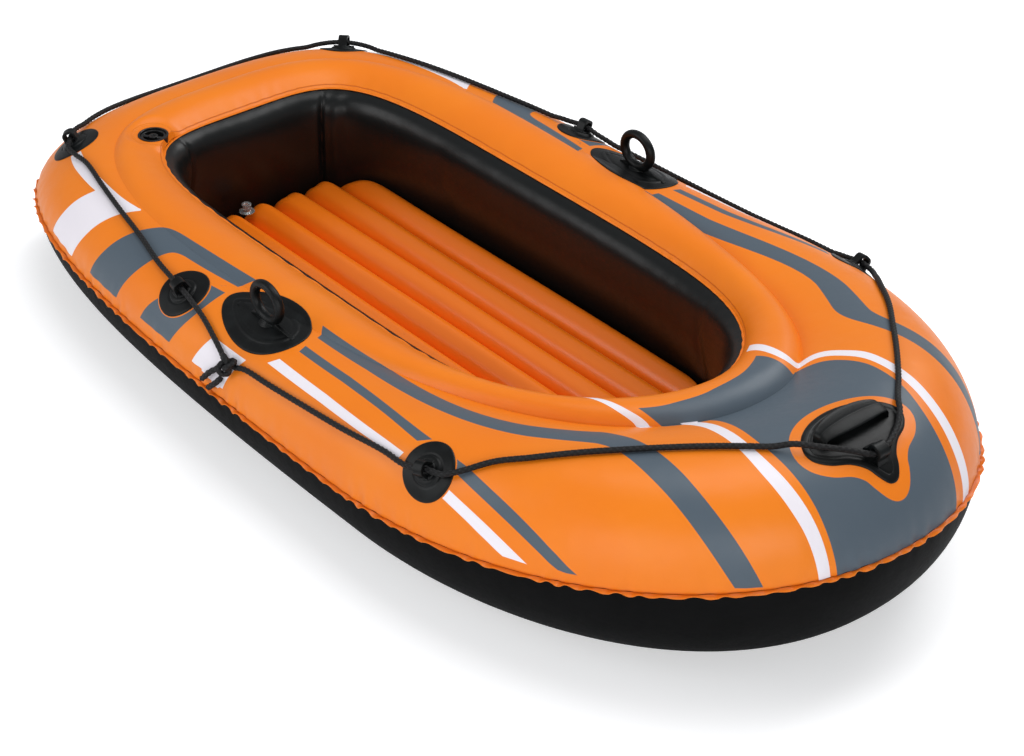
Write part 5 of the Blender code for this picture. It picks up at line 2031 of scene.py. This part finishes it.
@dataclass
class GrabRope:
    """Braided grab rope round the whole boat, with the knot and tails that close its loop."""

    deck: Deck
    holders: dict
    radius: float = 0.0037
    rest: float = 0.0008
    step: float = 0.00145
    sides: int = 24
    rope_height: float = 0.0108
    beside_height: float = 0.0080
    strands: int = 8
    pitch: float = 0.030
    knot_place: Sequence[float] = (-0.047, -0.382)
    knot_height: float = 0.0110
    knot_scale: float = 0.0042
    knot_radius: float = 0.0040
    tail_rest: float = 0.0015
    holder_reach: float = 0.044
    bow_reach: float = 0.068
    bow_spots: Rail = ((0.690, -0.03), (0.690, 0.03))

    def along(self, route: Rail) -> list[Vector]:
        """Rope centres on the deck over the plan points of a route."""
        points = []
        for x, y in route:
            place, normal = self.deck.nearest(self.deck.under(x, y))
            points.append(place + normal * (self.radius + self.rest))
        return points

    def lifted(self, route: Sequence[tuple[float, float, float]]) -> list[Vector]:
        """Points at given heights over the plan points of a route."""
        return [self.deck.under(x, y) + Vector((0.0, 0.0, up)) for x, y, up in route]

    def through(self, key: tuple[str, str], backward: bool) -> list[Vector]:
        """Rope points through a holder's bridge, from aft to forward unless backward.

        Args:
            key: Place and side of the holder.
            backward: Whether they run from forward to aft.

        Returns:
            Four points.
        """
        matrix = self.holders[key].frame()
        steps = (
            (-0.031, self.beside_height), (-0.009, self.rope_height),
            (0.009, self.rope_height), (0.031, self.beside_height),
        )
        points = [matrix @ Vector((x, 0.0, z)) for x, z in steps]
        return points[::-1] if backward else points

    def route(self) -> list[Vector]:
        """The rope's own route, in the order in which it is led from the knot."""
        forward = ((-0.020, -0.378), (0.030, -0.377), (0.098, -0.375), (0.181, -0.373), (0.258, -0.369))
        bow = ((0.403, -0.316), (0.437, -0.289), (0.499, -0.228), (0.561, -0.164), (0.617, -0.110))
        lobe = ((0.647, -0.083, 0.0112), (0.669, -0.063, 0.0125), (0.690, -0.036, 0.0115))
        port_lobe = ((0.693, 0.040, 0.0095), (0.674, 0.066, 0.0090), (0.655, 0.083, 0.0085))
        port_bow = ((0.625, 0.116), (0.572, 0.171), (0.525, 0.216), (0.474, 0.263), (0.420, 0.306))
        port = ((0.262, 0.371), (0.176, 0.376), (0.070, 0.378), (-0.045, 0.375), (-0.135, 0.364))
        stern_side = (
            (-0.288, -0.336), (-0.350, -0.322), (-0.430, -0.306), (-0.500, -0.290), (-0.570, -0.272),
        )
        stern = ((-0.700, 0.192), (-0.727, 0.110), (-0.735, 0.0), (-0.727, -0.110), (-0.700, -0.192))
        aft = ((-0.135, -0.361), (-0.100, -0.370), (-0.073, -0.377))
        eye_frame = self.deck.frame(BowFitting.eye_x, BowFitting.eye_y, math.radians(90))
        eye = [eye_frame @ Vector((x, 0.0, BowFitting.eye_height)) for x in (-0.009, 0.009)]
        knot = self.deck.frame(*self.knot_place, 0.0)
        points = [knot @ Vector((0.009, 0.002, 0.0095))]
        points += self.along(forward) + self.through(("front", "starboard"), False)
        points += self.along(bow) + self.lifted(lobe) + eye + self.lifted(port_lobe)
        points += self.along(port_bow) + self.through(("front", "port"), True)
        points += self.along(port) + self.through(("rear", "port"), True)
        points += self.along([(x, -y) for x, y in stern_side])
        points += self.through(("stern", "port"), True) + self.along(stern)
        points += self.through(("stern", "starboard"), False)
        points += self.along(stern_side[::-1])
        points += self.through(("rear", "starboard"), False) + self.along(aft)
        points.append(knot @ Vector((-0.010, 0.001, 0.0105)))
        return points

    def fine(self, points: Sequence[Vector], closed: bool = False) -> np.ndarray:
        """Smooth curve through points, at equal short steps.

        Args:
            points: Points that it passes.
            closed: Whether it ends where it starts.

        Returns:
            Points of the curve.
        """
        given = np.array([tuple(p) for p in points])
        count = len(given)
        curve = []
        for i in range(count if closed else count - 1):
            if closed:
                before, here, there, after = (given[(i + k) % count] for k in (-1, 0, 1, 2))
            else:
                before, here, there = given[max(i - 1, 0)], given[i], given[i + 1]
                after = given[min(i + 2, count - 1)]
            span = np.linalg.norm(there - here)
            early = span / max(np.linalg.norm(here - before), span * 0.25)
            late = span / max(np.linalg.norm(after - there), span * 0.25)
            leave = (there - before) / (1.0 + 1.0 / early) if i or closed else there - here
            arrive = (after - here) / (1.0 + 1.0 / late) if i < count - 2 or closed else there - here
            for t in np.linspace(0.0, 1.0, max(4, int(span / 0.002)), endpoint=False):
                square, cube = t * t, t ** 3
                curve.append(
                    (2 * cube - 3 * square + 1) * here + (cube - 2 * square + t) * leave
                    + (3 * square - 2 * cube) * there + (cube - square) * arrive
                )
        curve.append(given[0] if closed else given[-1])
        return self.even(np.array(curve))

    def even(self, curve: np.ndarray) -> np.ndarray:
        """The same curve at equal steps."""
        passed = np.concatenate([[0.0], np.cumsum(np.linalg.norm(np.diff(curve, axis=0), axis=1))])
        wanted = np.linspace(0.0, passed[-1], max(4, int(passed[-1] / self.step)))
        return sampled(curve, passed, wanted)

    def laid(self, curve: np.ndarray) -> np.ndarray:
        """The curve moved so that the rope rests on the deck between its fittings.

        Args:
            curve: Rope centres.

        Returns:
            The moved centres.
        """
        spots = [np.array(holder.frame().translation) for holder in self.holders.values()]
        spots += [np.array(self.deck.under(x, y)) for x, y in self.bow_spots]
        reach = [self.holder_reach] * len(self.holders) + [self.bow_reach] * len(self.bow_spots)
        moved = curve.copy()
        for i, point in enumerate(curve):
            place, normal = self.deck.nearest(Vector(point))
            height = (Vector(point) - place).dot(normal)
            rest = self.radius + self.rest
            free = min(np.linalg.norm(point - s) / r for s, r in zip(spots, reach))
            hold = float(smoothstep(np.array(free), 1.0, 1.5))
            wanted = max(height, rest) * (1.0 - hold) + rest * hold
            moved[i] = point + np.array(normal) * (wanted - height)
        for _ in range(6):
            moved[1:-1] = 0.25 * moved[:-2] + 0.5 * moved[1:-1] + 0.25 * moved[2:]
        return self.even(moved)

    def braid(self, curve: np.ndarray, radius: float, closed: bool = False) -> bpy.types.Object:
        """Round braided cord along a curve.

        Args:
            curve: Its centreline at equal steps.
            radius: Its radius.
            closed: Whether it is a closed loop.

        Returns:
            The cord, with the braid's own values on its points.
        """
        count = len(curve)
        ahead = np.roll(curve, -1, axis=0) - np.roll(curve, 1, axis=0)
        if not closed:
            ahead[0], ahead[-1] = curve[1] - curve[0], curve[-1] - curve[-2]
        ahead /= np.linalg.norm(ahead, axis=1)[:, None]
        side = np.cross(ahead[0], (0.0, 0.0, 1.0) if abs(ahead[0][2]) < 0.7 else (1.0, 0.0, 0.0))
        sides = []
        for direction in ahead:
            side = side - (side @ direction) * direction
            side = side / np.linalg.norm(side)
            sides.append(side)
        sides = np.array(sides)
        rises = np.cross(ahead, sides)
        around = np.linspace(0.0, 2.0 * math.pi, self.sides, endpoint=False)[None]
        turns = max(1, round(count * self.step / self.pitch))
        run = 2.0 * math.pi * turns * np.arange(count)[:, None] / count
        half = self.strands // 2
        left = half * around + run * half
        right = half * around - run * half
        height = np.abs(np.cos(left / 2.0) * np.cos(right / 2.0))
        over = 0.5 + 0.5 * np.sin(left) * np.sin(right)
        r = radius * (0.82 + 0.25 * height ** 0.8)
        points = curve[:, None] + (
            sides[:, None] * np.cos(around)[:, :, None] + rises[:, None] * np.sin(around)[:, :, None]
        ) * r[:, :, None]
        kept = {"strand_left": left, "strand_right": right, "strand_over": over, "strand_height": height}
        if not closed:
            first = np.broadcast_to(curve[:1, None], points[:1].shape)
            last = np.broadcast_to(curve[-1:, None], points[-1:].shape)
            points = np.concatenate([first, points, last])
            kept = {name: np.concatenate([g[:1], g, g[-1:]]) for name, g in kept.items()}
        piece = wrap_grid(points, close_rows=closed, close_columns=True)
        keep_values(piece, **kept)
        return piece

    def build(self) -> None:
        """Make the rope, its knot and its tails."""
        finish = BraidedRope().make()
        curve = self.laid(self.fine(self.route()))
        rope = self.braid(curve, self.radius)
        settle(rope, "braided_grab_rope", "hull", "braided_rope", finish, "grab_rope")
        matrix = self.deck.frame(*self.knot_place, 0.0)
        middle = Vector((0.0, 0.0, self.knot_height))
        path = []
        for i in range(48):
            turn = 2.0 * math.pi * i / 48
            x = math.sin(turn) + 2.0 * math.sin(2.0 * turn)
            y = math.cos(turn) - 2.0 * math.cos(2.0 * turn)
            z = 1.15 * math.sin(3.0 * turn)
            path.append(matrix @ (Vector((x, y, z)) * self.knot_scale + middle))
        knot = self.braid(self.fine(path, closed=True)[:-1], self.knot_radius, closed=True)
        settle(knot, "braided_rope_knot", "hull", "braided_rope", finish, "rope_knot")
        routes = {
            "upper": ((-0.066, -0.391, 0.168), (-0.078, -0.394, 0.158), (-0.093, -0.396, 0.142)),
            "lower": ((-0.054, -0.394, 0.160), (-0.064, -0.397, 0.149), (-0.078, -0.399, 0.137)),
        }
        for name, tail in routes.items():
            points = []
            for point in tail:
                place, normal = self.deck.nearest(Vector(point))
                points.append(place + normal * (self.radius + self.tail_rest))
            tail_piece = self.braid(self.fine(points), self.knot_radius)
            solid = f"rope_tail_{name}"
            settle(tail_piece, f"braided_tail_{name}", "hull", "braided_rope", finish, solid)


@dataclass
class Studio:
    """Camera at the photograph's angle, pale floor, white surroundings and soft lamps."""

    azimuth: float = 50.356
    elevation: float = 33.58
    distance: float = 3.174
    target: Sequence[float] = (0.158, -0.089, 0.14)
    lens: float = 86.37
    lamp_target: Sequence[float] = (0.1, 0.0, 0.1)

    def build(self) -> None:
        """Make the camera, the floor, the world and the lamps."""
        self.camera()
        self.floor()
        self.world()
        self.lamp("key_lamp", (0.0, 2.5, 2.7), 2.1, 64.0)
        self.lamp("top_lamp", (0.1, 0.1, 3.2), 1.8, 33.0)
        self.lamp("front_lamp", (3.1, -1.5, 1.3), 1.5, 30.0)
        self.lamp("low_lamp", (1.6, -3.0, 0.8), 1.5, 22.0)
        self.lamp("left_lamp", (-1.7, -2.9, 1.6), 2.0, 36.0)

    def camera(self) -> None:
        """Camera on its own arc round the target."""
        azimuth, elevation = math.radians(self.azimuth), math.radians(self.elevation)
        away = Vector((
            math.sin(azimuth) * math.cos(elevation),
            -math.cos(azimuth) * math.cos(elevation),
            math.sin(elevation),
        ))
        data = bpy.data.cameras.new("photo_camera")
        data.lens = self.lens
        data.sensor_width = 36.0
        data.sensor_fit = "HORIZONTAL"
        camera = bpy.data.objects.new("photo_camera", data)
        camera.location = Vector(self.target) + away * self.distance
        camera.rotation_euler = (-away).to_track_quat("-Z", "Y").to_euler()
        bpy.context.scene.collection.objects.link(camera)
        bpy.context.scene.camera = camera

    def floor(self) -> None:
        """Pale floor that looks white to the camera and keeps the boat's shadow."""
        bpy.ops.mesh.primitive_plane_add(size=24.0)
        floor = bpy.context.object
        floor.name = "pale_floor"
        shader = Shader("pale_floor")
        shader.feed(Base_Color=(0.90, 0.90, 0.91), Roughness=0.9, Specular_IOR_Level=0.1)
        white = (1.0, 1.0, 1.0, 1.0)
        glow = shader.value("ShaderNodeEmission", {"Color": white, "Strength": 0.40})
        seen = shader.value("ShaderNodeLightPath", {}, "Is Camera Ray")
        choice = shader.value("ShaderNodeMixShader", {0: seen, 2: glow})
        plain = Value(shader, shader.principled.outputs[0])
        both = shader.value("ShaderNodeAddShader", {0: plain, 1: choice})
        shader.connect(shader.tree.nodes["Material Output"].inputs[0], both)
        floor.data.materials.append(shader.material)

    def world(self) -> None:
        """White to the camera and in reflections, and a plain soft light on the boat."""
        world = bpy.data.worlds.new("studio")
        bpy.context.scene.world = world
        world.use_nodes = True
        tree = world.node_tree
        tree.nodes.clear()

        def node(kind: str, *inputs: "bpy.types.NodeSocket | float | tuple") -> bpy.types.Node:
            """Add a node, and link or set its inputs in order."""
            made = tree.nodes.new(kind)
            for socket, value in zip(made.inputs, inputs):
                if isinstance(value, bpy.types.NodeSocket):
                    tree.links.new(value, socket)
                else:
                    socket.default_value = value
            return made

        rays = node("ShaderNodeLightPath").outputs
        plain = node("ShaderNodeBackground", (0.93, 0.96, 1.0, 1.0), 0.34).outputs[0]
        white = node("ShaderNodeBackground", (1.0, 1.0, 1.0, 1.0), 1.0).outputs[0]
        soft = node("ShaderNodeBackground", (0.95, 0.97, 1.0, 1.0), 0.36).outputs[0]
        glossy = tree.nodes.new("ShaderNodeMath")
        glossy.operation = "MAXIMUM"
        tree.links.new(rays["Is Glossy Ray"], glossy.inputs[0])
        tree.links.new(rays["Is Transmission Ray"], glossy.inputs[1])
        seen = node("ShaderNodeMixShader", glossy.outputs[0], plain, soft).outputs[0]
        shown = node("ShaderNodeMixShader", rays["Is Camera Ray"], seen, white).outputs[0]
        node("ShaderNodeOutputWorld", shown)

    def lamp(self, name: str, place: Sequence[float], size: float, power: float) -> None:
        """Square soft lamp that points at the boat.

        Args:
            name: Its name.
            place: Where it stands.
            size: Length of its sides.
            power: Watts.
        """
        data = bpy.data.lights.new(name, "AREA")
        data.shape = "SQUARE"
        data.size = size
        data.energy = power
        lamp = bpy.data.objects.new(name, data)
        lamp.location = place
        ahead = Vector(self.lamp_target) - Vector(place)
        lamp.rotation_euler = ahead.to_track_quat("-Z", "Y").to_euler()
        bpy.context.scene.collection.objects.link(lamp)


@dataclass
class Boat:
    """The whole boat, built in order."""

    planes: int = 1000

    def build(self) -> None:
        """Build every piece and dress the solids that still show."""
        hull = Hull(HullForm(), self.planes)
        deck = Deck(hull)
        HullSkins(hull, deck, Clearings(deck)).build()
        AirMat().build()
        MainValve(deck).build()
        moulded = MouldedVinyl().make()
        holders = {}
        for side in SIDES:
            Oarlock(deck, side).build(moulded)
            for place, (x, y, turn) in HOLDERS.items():
                holder = RopeHolder(deck, place, side, x, y, turn)
                holder.build(moulded)
                holders[(place, side)] = holder
        BowFitting(deck).build(moulded)
        GrabRope(deck, holders).build()
        self.dress_solids()

    def dress_solids(self) -> None:
        """Give the solids that still show, under and inside the hull, their sheet's finish."""
        sheet = PlainVinyl(
            "base_sheet_vinyl", (0.006, 0.0063, 0.0066), (0.010, 0.0103, 0.0108), roughness=0.46
        ).make()
        for name in ("bottom_panel", "chamber_baffle"):
            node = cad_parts[name]
            node.data.materials.clear()
            node.data.materials.append(sheet)
            log.info("%s: finished as it is", name)


def main() -> None:
    """Build the studio and the boat."""
    logging.basicConfig(level=logging.INFO, format="%(message)s")
    bpy.context.scene.view_settings.view_transform = "Standard"
    Studio().build()
    Boat().build()
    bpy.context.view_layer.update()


if __name__ == "__main__":
    main()
